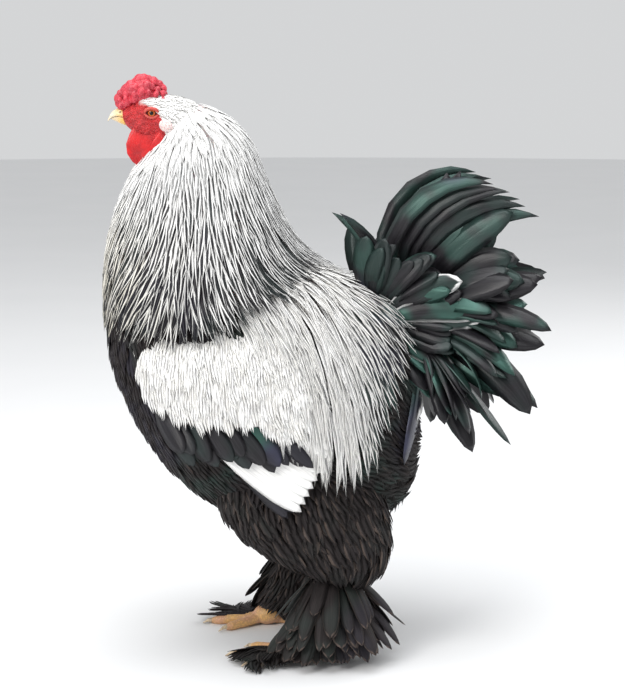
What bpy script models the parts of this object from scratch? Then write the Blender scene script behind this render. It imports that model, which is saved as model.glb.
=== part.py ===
# A life-size brahma cockerel, standing, facing -X, its left side towards -Y.
# The solids are closed bodies that meet face to face with a thin gap, and carry
# the big feathers as tapered vanes: cape, saddle, wings, tail and boots.

import math
import random

import bmesh
import bpy
import numpy as np
from mathutils import Vector

# Driving sizes, in metres
GAP = 0.0004
WIDE_GAP = 0.0007
FLOOR = 0.0
VANE_THICK = 0.0017
MIN_THICK = 0.0008
# How many gaps a cutter's sharp corner, a feather's edge, its faces and its tip move out
MOST_SPREAD, EDGE_SPREAD, FACE_SPREAD, TIP_SPREAD = 3.0, 5.0, 2.4, 9.0
EDGE_DROOP = 0.3
SIDES = (("left", -1.0), ("right", 1.0))
SEED = 41

# The trunk, in slices across X: where each lies, its ridge, its keel and its half width
TRUNK_X = (-0.2145, -0.205, -0.185, -0.160, -0.130, -0.090, -0.040, 0.010, 0.050, 0.080, 0.105, 0.124, 0.136)
TRUNK_TOP = (0.385, 0.415, 0.431, 0.437, 0.439, 0.440, 0.439, 0.434, 0.419, 0.408, 0.393, 0.372, 0.335)
TRUNK_KEEL = (0.360, 0.320, 0.272, 0.230, 0.196, 0.168, 0.155, 0.151, 0.152, 0.156, 0.166, 0.188, 0.230)
TRUNK_HALF = (0.010, 0.045, 0.079, 0.103, 0.117, 0.124, 0.124, 0.120, 0.110, 0.098, 0.080, 0.058, 0.026)
TRUNK_SQUARE = 2.25
TRUNK_AROUND = 18
# How far the coat hangs below the widest line for each whole q
DROP = 0.10
# The saddle is the part of the trunk behind and above these
SADDLE_FRONT, SADDLE_FLOOR = -0.040, 0.335
SADDLE_END = 0.092
# The saddle's tiers: first root, how far down the flank each starts and ends, count, height
SADDLE_TIERS = (
    (0.004, 0.50, 2.00, 4, 0.0080),
    (0.012, 0.34, 1.56, 4, 0.0115),
    (0.026, 0.18, 1.12, 4, 0.0150),
    (0.040, 0.05, 0.70, 3, 0.0175),
)

# The wing's pad on the flank: place along X, lower and upper edge, height over the flank
WING_PAD = (
    (-0.173, 0.320, 0.335, 0.003),
    (-0.166, 0.300, 0.352, 0.008),
    (-0.150, 0.283, 0.363, 0.012),
    (-0.120, 0.272, 0.366, 0.0135),
    (-0.085, 0.264, 0.370, 0.0135),
    (-0.050, 0.256, 0.376, 0.012),
    (-0.020, 0.244, 0.378, 0.011),
    (0.004, 0.235, 0.366, 0.010),
    (0.020, 0.240, 0.330, 0.006),
)

WING_UNDER = 0.006
# Rows of wing feathers: first root, its step, first tip, its step, first and last height with steps
PRIMARIES = (
    ((-0.075, 0.262), (0.012, -0.002)),
    ((0.010, 0.176), (0.006, 0.010)),
    ((-0.001, 0.0004), (0.0020, 0.0004)),
)
SECONDARIES = (
    ((-0.090, 0.266), (0.0135, 0.0045)),
    ((0.004, 0.188), (0.0055, 0.0125)),
    ((-0.002, 0.0019), (0.0038, 0.0019)),
)
BAR_COVERTS = (
    ((-0.138, 0.292), (0.023, -0.001)),
    ((-0.106, 0.246), (0.0235, -0.003)),
    ((0.0040, 0.0), (0.0135, 0.0006)),
)
WING_VANE_THICK, WING_VANE_CUP = 0.0016, 0.06

# The cape, in rings from the throat (0) to the hem (1)
CAPE_V = (-0.2, 0.0, 0.17, 0.33, 0.5, 0.67, 0.83, 1.0)
CAPE_FRONT_X = (-0.145, -0.161, -0.179, -0.194, -0.207, -0.216, -0.2195, -0.219)
CAPE_FRONT_Z = (0.592, 0.569, 0.550, 0.524, 0.492, 0.452, 0.410, 0.369)
CAPE_BACK_X = (-0.112, -0.090, -0.066, -0.049, -0.036, -0.020, 0.002, 0.036)
CAPE_BACK_Z = (0.617, 0.608, 0.591, 0.567, 0.534, 0.498, 0.463, 0.438)
CAPE_HALF = (0.020, 0.031, 0.044, 0.059, 0.078, 0.099, 0.118, 0.130)
CAPE_DROP = (0.0, 0.0, 0.002, 0.005, 0.010, 0.018, 0.027, 0.036)
CAPE_TIERS = ((-0.10, 0.36, 9), (0.14, 0.58, 12), (0.36, 0.80, 14), (0.57, 1.0, 16))
CAPE_DEPTH = (0.003, 0.003, 0.0045, 0.0065, 0.009, 0.014, 0.030, 0.050)

CAPE_CORE_V = (-0.2, -0.03, 0.16, 0.36, 0.56, 0.74, 0.87)
CAPE_CORE_AROUND = 14
SIDE_BY_SIDE = 0.93

# The head, in slices across X
HEAD_X = (-0.1965, -0.192, -0.183, -0.170, -0.155, -0.140, -0.125, -0.110, -0.098)
HEAD_TOP = (0.606, 0.6110, 0.6155, 0.6200, 0.6225, 0.6230, 0.6195, 0.6115, 0.598)
HEAD_JAW = (0.601, 0.5930, 0.5840, 0.5760, 0.5710, 0.5680, 0.5700, 0.5770, 0.589)
HEAD_HALF = (0.002, 0.0092, 0.0132, 0.0176, 0.0206, 0.0222, 0.0218, 0.0165, 0.004)

EYE_X, EYE_Y, EYE_Z, EYE_R = -0.1605, 0.0137, 0.6045, 0.0072
LID_R, LID_THICK = 0.0056, 0.0013
EAR_X, EAR_Y, EAR_Z, EAR_R = -0.1385, 0.0225, 0.6030, 0.0028

# The bill: slices across X with the culmen, the line of the mouth and the gonys
BILL_X = (-0.186, -0.194, -0.201, -0.207, -0.2105)
CULMEN_Z = (0.6100, 0.6105, 0.6085, 0.6035, 0.5990)
MOUTH_Z = (0.5990, 0.5995, 0.6000, 0.5980, 0.5950)
BILL_HALF = (0.0082, 0.0070, 0.0048, 0.0024, 0.0009)
GONYS_X = (-0.186, -0.194, -0.201, -0.2065)
GONYS_Z = (0.5895, 0.5917, 0.5947, 0.5977)
LOWER_HALF = (0.0076, 0.0062, 0.0040, 0.0012)
MOUTH_SLIT = 0.0005
NOSTRIL, NOSTRIL_RADII = (-0.1965, 0.0058, 0.6050), (0.0016, 0.0010, 0.0007)

CHEEK, CHEEK_RADII = (-0.169, 0.0105, 0.590), (0.014, 0.0075, 0.011)
LOBE, LOBE_RADII, LOBE_TILT = (-0.1440, 0.0205, 0.5910), (0.0088, 0.0052, 0.0072), 24.0
WATTLE_TOP, WATTLE_LENGTH, WATTLE_X, WATTLE_Y = 0.588, 0.0430, -0.1725, 0.0105
# The wattle: share of its length, shift back, half length, half thickness
WATTLE = (
    (0.0, 0.004, 0.0125, 0.0034),
    (0.18, 0.002, 0.0150, 0.0036),
    (0.42, 0.0, 0.0168, 0.0036),
    (0.66, 0.0, 0.0158, 0.0036),
    (0.86, 0.001, 0.0112, 0.0030),
    (0.97, 0.002, 0.0050, 0.0018),
)
WATTLE_FOLD, WATTLE_SPLAY = 0.0016, 0.0035
# The comb: a tilted base with rows of beads, each row's place across, height and size
COMB, COMB_RADII, COMB_TILT = (-0.1735, 0.0, 0.6225), (0.0235, 0.0100, 0.0150), 20.0
COMB_ROWS = ((0.0, 0.0, 0.0060), (-0.0078, -0.0060, 0.0050), (0.0078, -0.0060, 0.0050))
COMB_FRONT, COMB_LONG, COMB_FOOT, COMB_HIGH, COMB_BEADS = -0.1960, 0.0470, 0.6150, 0.0245, 5

# The legs: the left one stands further back than the right one
STANCE_Y = 0.056
LEG_BACK = {"left": 0.0, "right": -0.032}
# The thigh: place along X and Y, height, half length, half width
THIGH = (
    (-0.006, 0.046, 0.252, 0.030, 0.020),
    (-0.004, 0.058, 0.232, 0.066, 0.038),
    (0.000, 0.065, 0.205, 0.085, 0.044),
    (0.004, 0.069, 0.175, 0.090, 0.048),
    (0.012, 0.070, 0.148, 0.086, 0.048),
    (0.022, 0.068, 0.124, 0.070, 0.042),
    (0.030, 0.065, 0.106, 0.048, 0.031),
    (0.036, 0.063, 0.096, 0.024, 0.018),
)
THIGH_RISE = 0.012
# Feathers round the foot of the thigh: root's height, distance out, length and slope
HOCK_ROWS = ((0.140, 0.048, 0.056, 68.0), (0.166, 0.056, 0.050, 72.0))
HOCK_X, HOCK_Y, HOCK_FIRST, HOCK_TURN = 0.012, 0.068, 15.0, 150.0
# The shank inside its feathers: place along X, height, half length, half width
SHANK = (
    (0.036, 0.110, 0.016, 0.013),
    (0.036, 0.092, 0.027, 0.019),
    (0.034, 0.072, 0.031, 0.021),
    (0.024, 0.052, 0.028, 0.020),
    (0.006, 0.034, 0.019, 0.015),
    (-0.008, 0.020, 0.012, 0.011),
    (-0.011, 0.012, 0.010, 0.009),
)
# The boots: height of each tier's roots, length, slope and count of its feathers
BOOT_TIERS = ((0.094, 0.076, 44, 4), (0.070, 0.072, 38, 4), (0.047, 0.064, 30, 4))
BOOT_FIRST, BOOT_TURN, BOOT_ROOT = 26.0, 160.0, 0.45
TOES = (("inner", -30.0, 0.050), ("middle", 0.0, 0.062), ("outer", 32.0, 0.052), ("hind", 172.0, 0.030))
BALL_X = -0.012
FOOT_BALL = (0.004, 0.012)
FOOT_RADII = (0.0165, 0.0125, 0.0122)
# A toe and a claw from root to tip: share of the length, height, radius
TOE = ((0.0, 0.011, 0.0064), (0.35, 0.0072, 0.0056), (0.88, 0.0048, 0.0048), (1.0, 0.0042, 0.0031))
CLAW = ((0.0, 0.0050, 0.0030), (0.55, 0.0044, 0.0023), (1.0, 0.0012, 0.0005))
CLAW_LENGTH, CLAW_INSIDE = 0.0135, 0.003
# Feathers on the toes: toe's angle and length, share along it, heading, length
TOE_FEATHERS = ((32.0, 0.052, 0.30, 80.0, 0.042), (0.0, 0.062, 0.40, 80.0, 0.042))
TOE_FEATHER_Z = 0.0085

# The tail
TAIL_ROOT = (0.116, 0.0, 0.376)
TAIL_CORE = (0.046, 0.036, 0.052)
LOWEST_PERCH, PERCH_DEPTH = -38.0, 0.55
TAIL_LAG = 4.0
# Tiers of the tail: first angle, step, count, yaw, its step, length, bend, width, distance out, lean
TAIL_TIERS = (
    (84.0, -20.0, 5, 4.0, 1.5, 0.146, 16.0, 0.040, 0.005, 14.0),
    (62.0, -20.0, 8, 24.0, 1.5, 0.150, 40.0, 0.038, 0.015, 26.0),
    (30.0, -20.0, 6, 42.0, 1.5, 0.118, 44.0, 0.034, 0.024, 40.0),
)
# The sickles: angle, yaw, length, bend, width, how far forward they root
SICKLE_OUT, SICKLE_LEAN = 0.012, 18.0
SICKLES = (
    (101.0, 13.0, 0.205, 118.0, 0.022, 0.012),
    (88.0, 15.5, 0.190, 96.0, 0.022, 0.006),
    (72.0, 18.0, 0.184, 84.0, 0.022, 0.0),
    (102.0, 13.0, 0.114, -44.0, 0.015, 0.010),
)

# Colours: red, green, blue
WHITE = (0.86, 0.84, 0.79)
BLACK_GREEN = (0.012, 0.022, 0.020)
BROWN_BLACK = (0.035, 0.026, 0.024)
RED = (0.62, 0.020, 0.028)
FACE_RED = (0.60, 0.035, 0.040)
YELLOW = (0.80, 0.58, 0.22)
SKIN_YELLOW = (0.72, 0.45, 0.17)
LOBE_WHITE = (0.78, 0.60, 0.58)
AMBER = (0.60, 0.20, 0.03)

# Outlines of a vane: share of its length, share of its width
LANCE = ((0.0, 0.42), (0.24, 0.88), (0.68, 1.0), (1.0, 0.0))
TRAIL = ((0.0, 0.45), (0.20, 0.80), (0.42, 1.0), (0.68, 1.0), (1.0, 0.0))
BROAD = ((0.0, 0.38), (0.25, 0.85), (0.60, 1.0), (0.88, 0.78), (1.0, 0.0))
TUFT = ((0.0, 0.30), (0.35, 0.85), (0.78, 0.95), (1.0, 0.0))
SICKLE = ((0.0, 0.45), (0.18, 0.75), (0.40, 1.0), (0.62, 1.0), (0.84, 0.66), (1.0, 0.0))
FAN = ((0.0, 0.16), (0.36, 0.64), (0.80, 0.96), (1.0, 0.0))

rng = random.Random(SEED)


def clear_scene():
    for obj in list(bpy.data.objects):
        bpy.data.objects.remove(obj)


def paint(obj, colour, roughness=0.7):
    material = bpy.data.materials.new(obj.name + "_finish")
    material.use_nodes = True
    shader = material.node_tree.nodes["Principled BSDF"]
    shader.inputs["Base Color"].default_value = (*colour, 1.0)
    shader.inputs["Roughness"].default_value = roughness
    obj.data.materials.clear()
    obj.data.materials.append(material)


def piece(name, points, faces):
    # One closed mesh object, with its faces turned outwards
    mesh = bpy.data.meshes.new(name)
    mesh.from_pydata([tuple(p) for p in points], [], faces)
    work = bmesh.new()
    work.from_mesh(mesh)
    bmesh.ops.recalc_face_normals(work, faces=work.faces)
    bmesh.ops.triangulate(work, faces=work.faces)
    if work.calc_volume(signed=True) < 0:
        bmesh.ops.reverse_faces(work, faces=work.faces)
    work.to_mesh(mesh)
    work.free()
    obj = bpy.data.objects.new(name, mesh)
    bpy.context.scene.collection.objects.link(obj)
    return obj


def loft(name, rings):
    # A closed skin over rings of the same count, each end closed by a fan to its middle
    count = len(rings[0])
    points = [p for ring in rings for p in ring]
    faces = []
    for r in range(len(rings) - 1):
        for k in range(count):
            a, b = r * count + k, r * count + (k + 1) % count
            faces.append((a, b, b + count, a + count))
    for ring, turn in ((0, 1), (len(rings) - 1, -1)):
        middle = sum((Vector(p) for p in rings[ring]), Vector()) / count
        points.append(middle)
        for k in range(count):
            a, b = ring * count + k, ring * count + (k + 1) % count
            faces.append((b, a, len(points) - 1)[::turn])
    return piece(name, points, faces)


def ball(name, centre, radii, rings=8, around=12, tilt=0.0):
    # A turned ball of three radii, tipped about Y by tilt degrees
    slices = []
    turn = math.radians(tilt)
    for r in range(1, rings):
        polar = math.pi * r / rings
        ring = []
        for k in range(around):
            angle = 2 * math.pi * k / around
            x = radii[0] * math.sin(polar) * math.cos(angle)
            y = radii[1] * math.sin(polar) * math.sin(angle)
            z = radii[2] * math.cos(polar)
            ring.append(
                Vector(
                    (
                        centre[0] + x * math.cos(turn) + z * math.sin(turn),
                        centre[1] + y,
                        centre[2] - x * math.sin(turn) + z * math.cos(turn),
                    )
                )
            )
        slices.append(ring)
    return loft(name, slices)


def tube(name, centres, radii, around=10, flat_floor=False):
    # A closed tube through centres, its rings square to the line
    rings = []
    for i, centre in enumerate(centres):
        here = Vector(centres[min(i + 1, len(centres) - 1)]) - Vector(centres[max(i - 1, 0)])
        here.normalize()
        across = here.cross(Vector((0, 0, 1)))
        if across.length < 0.05:
            across = here.cross(Vector((1, 0, 0)))
        across.normalize()
        up = across.cross(here)
        ring = []
        for k in range(around):
            angle = 2 * math.pi * (k + 0.5) / around
            point = Vector(centre) + radii[i] * (math.cos(angle) * across + math.sin(angle) * up)
            if flat_floor:
                point.z = max(point.z, FLOOR)
            ring.append(point)
        rings.append(ring)
    return loft(name, rings)


def largest_body(obj):
    # Keeps the biggest closed surface, which fills sealed hollows and drops scraps
    work = bmesh.new()
    work.from_mesh(obj.data)
    bmesh.ops.triangulate(work, faces=work.faces)
    unseen = set(work.verts)
    bodies = []
    while unseen:
        seed = unseen.pop()
        found, edge = {seed}, [seed]
        while edge:
            for link in edge.pop().link_edges:
                for vert in link.verts:
                    if vert in unseen:
                        unseen.discard(vert)
                        found.add(vert)
                        edge.append(vert)
        faces = {f for v in found for f in v.link_faces}
        volume = sum(
            f.verts[0].co.dot(f.verts[1].co.cross(f.verts[2].co)) / 6 for f in faces
        )
        bodies.append((volume, found))
    bodies.sort(key=lambda body: -body[0])
    extra = [v for body in bodies[1:] for v in body[1]]
    bmesh.ops.delete(work, geom=extra, context="VERTS")
    work.to_mesh(obj.data)
    work.free()


def combine(obj, others, operation):
    # One Boolean on a collection, applied at once
    group = bpy.data.collections.new("operands")
    bpy.context.scene.collection.children.link(group)
    for other in others:
        group.objects.link(other)
    modifier = obj.modifiers.new("Join", "BOOLEAN")
    modifier.operation = operation
    modifier.operand_type = "COLLECTION"
    modifier.collection = group
    modifier.solver = "MANIFOLD"
    graph = bpy.context.evaluated_depsgraph_get()
    made = bpy.data.meshes.new_from_object(obj.evaluated_get(graph))
    obj.modifiers.clear()
    obj.data = made
    for other in others:
        bpy.data.objects.remove(other)
    bpy.data.collections.remove(group)
    largest_body(obj)
    return obj


def grown(obj, by):
    # A copy whose skin stands off by the gap, used as a cutter
    copy = bpy.data.objects.new("cutter", obj.data.copy())
    work = bmesh.new()
    work.from_mesh(copy.data)
    work.normal_update()
    moves = [(v, v.normal * min(v.calc_shell_factor(), MOST_SPREAD)) for v in work.verts]
    for vert, move in moves:
        vert.co += move * by
    work.to_mesh(copy.data)
    work.free()
    bpy.context.scene.collection.objects.link(copy)
    return copy


def clear_of(obj, neighbours):
    # Cuts obj back from its neighbours, leaving the gap
    return combine(obj, [grown(n, GAP) for n in neighbours], "DIFFERENCE")


def grown_vane(obj, by):
    # The same for a feather, whose edges are too sharp for the way above
    copy = grown(obj, 0.0)
    verts = copy.data.vertices
    tip, last = verts[len(verts) - 1], verts[len(verts) - 4]
    tip.co += (tip.co - last.co).normalized() * by * TIP_SPREAD
    back = (verts[5].co - verts[1].co).normalized() * by * EDGE_SPREAD
    for row in range(0, len(verts) - 1, 4):
        left, ridge, right, under = (verts[row + k] for k in range(4))
        across = (right.co - left.co).normalized() * by * EDGE_SPREAD
        out = (ridge.co - under.co).normalized() * by * FACE_SPREAD
        droop = out * EDGE_DROOP
        for vert, move in ((left, -across - droop), (ridge, out), (right, across - droop), (under, -out)):
            vert.co += move - (back if row == 0 else Vector())
    return copy


def dress(core, feathers):
    # Joins feathers to their core, and hands back one cutter for each of them, a gap larger
    cutters = [grown(core, GAP)] + [grown_vane(feather, GAP) for feather in feathers]
    combine(core, feathers, "UNION")
    return cutters


def cut_back(obj, cutters):
    # Cuts with copies of the cutters, so that they serve again
    return combine(obj, [grown(cutter, 0.0) for cutter in cutters], "DIFFERENCE")


def discard(objects):
    for obj in objects:
        bpy.data.objects.remove(obj)


def smooth(keys, values, at):
    # A smooth curve through the values, read at one place
    keys = np.asarray(keys, float)
    values = np.asarray(values, float)
    slopes = np.gradient(values, keys)
    i = int(np.clip(np.searchsorted(keys, at) - 1, 0, len(keys) - 2))
    span = keys[i + 1] - keys[i]
    t = min(max((at - keys[i]) / span, 0.0), 1.0)
    return float(
        (2 * t**3 - 3 * t**2 + 1) * values[i]
        + (t**3 - 2 * t**2 + t) * span * slopes[i]
        + (-2 * t**3 + 3 * t**2) * values[i + 1]
        + (t**3 - t**2) * span * slopes[i + 1]
    )


def slice_ring(x, top, bottom, half, square, around):
    # One slice across X, a rounded oval a little squarer than an ellipse
    middle, high = (top + bottom) / 2, (top - bottom) / 2
    ring = []
    for k in range(around):
        angle = 2 * math.pi * k / around
        c, s = math.cos(angle), math.sin(angle)
        y = half * math.copysign(abs(s) ** (2 / square), s)
        z = middle + high * math.copysign(abs(c) ** (2 / square), c)
        ring.append(Vector((x, y, z)))
    return ring


def slices(name, xs, tops, bottoms, halves, square, around):
    return loft(
        name,
        [slice_ring(x, t, b, w, square, around) for x, t, b, w in zip(xs, tops, bottoms, halves)],
    )


def drape(x, q, side, lift):
    # The flank as a coat lies on it: q 0 is the ridge of the back, 1 the widest
    # line, and past 1 the feathers hang plumb, DROP metres for each whole q
    def bare(x, q):
        top = smooth(TRUNK_X, TRUNK_TOP, x)
        keel = smooth(TRUNK_X, TRUNK_KEEL, x)
        half = smooth(TRUNK_X, TRUNK_HALF, x)
        middle, high = (top + keel) / 2, (top - keel) / 2
        angle = min(q, 1.0) * math.pi / 2
        y = half * math.sin(angle) ** (2 / TRUNK_SQUARE)
        z = middle + high * max(math.cos(angle), 0.0) ** (2 / TRUNK_SQUARE)
        return Vector((x, side * y, z - max(q - 1.0, 0.0) * DROP))

    step = 0.01
    q = max(q, 0.02)
    here = bare(x, q)
    along = bare(x + step, q) - bare(x - step, q)
    down = bare(x, q + step) - bare(x, max(q - step, 0.005))
    out = along.cross(down).normalized()
    if out.y * side < 0 or (abs(out.y) < 0.02 and out.z < 0):
        out = -out
    return here + out * lift


def q_at(x, z):
    # The drape's q for a height
    top = smooth(TRUNK_X, TRUNK_TOP, x)
    keel = smooth(TRUNK_X, TRUNK_KEEL, x)
    middle, high = (top + keel) / 2, (top - keel) / 2
    if z <= middle:
        return 1.0 + (middle - z) / DROP
    share = min((z - middle) / high, 1.0)
    return math.acos(share ** (TRUNK_SQUARE / 2)) / (math.pi / 2)


def cape(v, turn, side, lift):
    # The cape's outside: v 0 is the throat, 1 the hem; turn 0 is the front, 180 the back
    def bare(v, turn):
        front_x, back_x = smooth(CAPE_V, CAPE_FRONT_X, v), smooth(CAPE_V, CAPE_BACK_X, v)
        front_z, back_z = smooth(CAPE_V, CAPE_FRONT_Z, v), smooth(CAPE_V, CAPE_BACK_Z, v)
        c, s = math.cos(math.radians(turn)), math.sin(math.radians(turn))
        return Vector(
            (
                (front_x + back_x) / 2 - (back_x - front_x) / 2 * c,
                side * smooth(CAPE_V, CAPE_HALF, v) * s,
                front_z + (back_z - front_z) * (1 - c) / 2 - smooth(CAPE_V, CAPE_DROP, v) * s * s,
            )
        )

    down = bare(v + 0.01, turn) - bare(v - 0.01, turn)
    round_it = bare(v, turn + 2) - bare(v, turn - 2)
    out = round_it.cross(down).normalized() * side
    return bare(v, turn) + out * lift


def vane(centres, outs, width, outline, thick=VANE_THICK, cup=0.12):
    # One feather: a flat four-sided blade that tapers to a point.
    # Its rows are left edge, ridge, right edge and underside.
    points, faces = [], []
    for i, (_, share) in enumerate(outline):
        tangent = (centres[min(i + 1, len(centres) - 1)] - centres[max(i - 1, 0)]).normalized()
        across = tangent.cross(outs[i]).normalized()
        out = across.cross(tangent)
        if i == len(outline) - 1:
            points.append(centres[i])
            break
        half = (width[i] if isinstance(width, list) else width) * share / 2
        thin = max(thick * (1 - 0.4 * i / len(outline)), MIN_THICK)
        edge = centres[i] - out * cup * half
        points += [
            edge - across * half,
            centres[i] + out * thin / 2,
            edge + across * half,
            centres[i] - out * thin / 2 - out * cup * half * 0.35,
        ]
    rows = len(outline) - 1
    for r in range(rows - 1):
        a, b = 4 * r, 4 * (r + 1)
        for edge, middle in ((0, 1), (2, 1), (0, 3), (2, 3)):
            faces.append((a + edge, a + middle, b + middle))
            faces.append((a + edge, b + middle, b + edge))
    tip, last = 4 * rows, 4 * (rows - 1)
    for k in range(4):
        faces.append((last + k, last + (k + 1) % 4, tip))
    faces.append((0, 1, 3))
    faces.append((1, 2, 3))
    return piece("vane", points, faces)


def laid_vane(surface, path, lifts, side, widths, outline, **shape):
    # A feather that follows a surface: path, lifts and widths depend on the share of its length
    centres, outs = [], []
    for share, _ in outline:
        a, b = path(share)
        centre = surface(a, b, side, lifts(share))
        centres.append(centre)
        outs.append((surface(a, b, side, lifts(share) + 0.004) - centre).normalized())
    return vane(centres, outs, [widths(share) for share, _ in outline], outline, **shape)


def ramp(low, high):
    return lambda t: low + (high - low) * t


def cape_girth(v):
    # The way round the cape at one height
    half = smooth(CAPE_V, CAPE_HALF, v)
    long = (smooth(CAPE_V, CAPE_BACK_X, v) - smooth(CAPE_V, CAPE_FRONT_X, v)) / 2
    return math.pi * (half + long)


def cape_feathers():
    # Four tiers like tiles: each passes under the tips of the one above, then rises to the outside
    made = []
    above = 0.06
    for row, (start, end, count) in enumerate(CAPE_TIERS):
        for k in range(count):
            turn = 360 * (k + 0.5 * (row % 2) + 0.25) / count + rng.uniform(-1, 1)
            reach = end - rng.uniform(0.0, 0.03)
            lean = 4.0 * math.sin(math.radians(turn))

            def path(t, start=start, reach=reach, turn=turn, lean=lean):
                return start + (reach - start) * t, turn + lean * t

            def lifts(t, start=start, reach=reach, above=above):
                v = start + (reach - start) * t
                rise = start + 0.24 * (reach - start)
                deep = smooth(CAPE_V, CAPE_DEPTH, rise)
                heights = (-deep - 0.012, 0.0012 - min(deep, 0.012), -0.0034, -0.0008)
                return float(np.interp(v, (start, rise, max(above, rise + 0.01), reach), heights))

            def widths(t, start=start, reach=reach, count=count):
                return SIDE_BY_SIDE * cape_girth(start + (reach - start) * t) / count

            made.append(laid_vane(cape, path, lifts, 1.0, widths, LANCE))
        above = end
    return made


def neck_core():
    rings = []
    for v in CAPE_CORE_V:
        depth = smooth(CAPE_V, CAPE_DEPTH, v)
        turns = [360 * k / CAPE_CORE_AROUND for k in range(CAPE_CORE_AROUND)]
        rings.append([cape(v, turn, 1.0, -depth) for turn in turns])
    return loft("neck", rings)


def trunk():
    return slices("torso", TRUNK_X, TRUNK_TOP, TRUNK_KEEL, TRUNK_HALF, TRUNK_SQUARE, TRUNK_AROUND)


def box(name, low, high):
    points = [
        Vector((x, y, z)) for x in (low[0], high[0]) for y in (low[1], high[1]) for z in (low[2], high[2])
    ]
    faces = [(0, 1, 3, 2), (4, 6, 7, 5), (0, 4, 5, 1), (2, 3, 7, 6), (0, 2, 6, 4), (1, 5, 7, 3)]
    return piece(name, points, faces)


def saddle_feathers():
    # Tiers from the widest line up to the ridge, hanging down the flank
    made = []
    for _, side in SIDES:
        for row, (first, start, end, count, high) in enumerate(SADDLE_TIERS):
            room = (SADDLE_END - first) / count
            width = SIDE_BY_SIDE * room
            for k in range(count):
                share = (k + 0.5 * (row % 2)) / count
                x = first + (SADDLE_END - first) * share + rng.uniform(-0.001, 0.001)
                back = 0.018 + 0.020 * share
                fall = (end - start) * (1.0 - 0.40 * share**2) * rng.uniform(0.95, 1.0)

                def path(t, x=x, back=back, start=start, fall=fall):
                    return x + back * math.sin(t * math.pi * 0.5), start + fall * t**1.1

                def lifts(t, high=high):
                    return float(np.interp(t, (0.0, 0.2, 0.42, 1.0), (-0.010, 0.35 * high, high, high)))

                made.append(laid_vane(drape, path, lifts, side, ramp(width, width + 0.003), TRAIL))
    return made


def wing_core(side):
    # The folded wing's shoulder, bow and shoulder feathers: a crowned pad on the flank
    rings = []
    for x, low, high, thick in WING_PAD:
        ring = []
        for k in range(12):
            angle = 2 * math.pi * k / 12
            up = (low + high) / 2 + (high - low) / 2 * math.cos(angle)
            out = math.sin(angle)
            q = q_at(x, up)
            lift = thick * out if out > 0 else WING_UNDER * out * min(1.0, max(0.0, 1.5 - q))
            ring.append(drape(x, q, side, lift))
        rings.append(ring)
    return loft("wing_core", rings)


def wing_feathers(side):
    # Primaries, tucked under, then the secondaries of the wing bay, then the bar coverts
    made = []
    for row, count, width, outline in (
        (PRIMARIES, 2, 0.020, BROAD),
        (SECONDARIES, 6, 0.021, BROAD),
        (BAR_COVERTS, 5, 0.0195, TUFT),
    ):
        for k in range(count):
            near, far = ([start[i] + step[i] * k for i in (0, 1)] for start, step in row[:2])
            low, high = (start + step * k for start, step in row[2])

            def path(t, near=near, far=far):
                x, z = (near[i] + (far[i] - near[i]) * t for i in (0, 1))
                return x, q_at(x, z)

            made.append(
                laid_vane(
                    drape, path, ramp(low, high), side, ramp(width, width), outline,
                    thick=WING_VANE_THICK, cup=WING_VANE_CUP,
                )
            )
    return made


def tail_vane(angle, yaw, length, bend, width, out_from, lean, side, fore=0.0, outline=SICKLE):
    # A tail feather: it leaves the stump at an angle above the horizon, turned out by yaw,
    # and bends down by bend degrees along its length; lean tips its face to the sky
    heading, out_by, tip_by = math.radians(angle), math.radians(yaw), math.radians(lean)
    perch = math.radians(max(angle, LOWEST_PERCH))
    centre = Vector(TAIL_ROOT) + Vector(
        (
            PERCH_DEPTH * TAIL_CORE[0] * math.cos(perch) - fore,
            side * out_from,
            PERCH_DEPTH * TAIL_CORE[2] * math.sin(perch),
        )
    )
    centres, outs = [], []
    steps, reached = 24, 0
    for step in range(steps + 1):
        t = step / steps
        now = heading - math.radians(bend) * t**1.25
        spread = out_by * (1.0 - 0.6 * t)
        level = math.cos(spread)
        ahead = Vector((math.cos(now) * level, side * math.sin(spread), math.sin(now) * level))
        if reached < len(outline) and t >= outline[reached][0] - 1e-6:
            centres.append(centre.copy())
            above = Vector((-math.sin(now), 0.0, math.cos(now)))
            outs.append(Vector((0.0, side, 0.0)) * math.cos(tip_by) + above * math.sin(tip_by))
            reached += 1
        centre = centre + ahead * length / steps
    return vane(centres, outs, width, outline, thick=0.0018, cup=0.16)


def tail_feathers():
    made = []
    for _, side in SIDES:
        lag = 0.0 if side < 0 else TAIL_LAG
        for first, step, count, yaw, yaw_step, length, bend, width, out_from, lean in TAIL_TIERS:
            for k in range(count):
                made.append(
                    tail_vane(
                        first + step * k + lag,
                        yaw + yaw_step * k,
                        length * rng.uniform(0.96, 1.02),
                        bend * (1 - 0.09 * k),
                        width,
                        out_from + 0.0016 * k,
                        lean + 2.5 * k,
                        side,
                        outline=FAN,
                    )
                )
        for angle, yaw, length, bend, width, fore in SICKLES:
            made.append(tail_vane(angle + lag, yaw, length, bend, width, SICKLE_OUT, SICKLE_LEAN, side, fore))
    return made


def thigh_core(name, side, back):
    # The thigh with its soft feathers, down to the hock
    rings = []
    for x, y, z, long, wide in THIGH:
        ring = []
        for k in range(12):
            angle = 2 * math.pi * k / 12
            ring.append(
                Vector(
                    (
                        x + back + long * math.cos(angle),
                        side * y + wide * math.sin(angle),
                        z - THIGH_RISE * math.cos(angle),
                    )
                )
            )
        rings.append(ring)
    return loft(name, rings)


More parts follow.
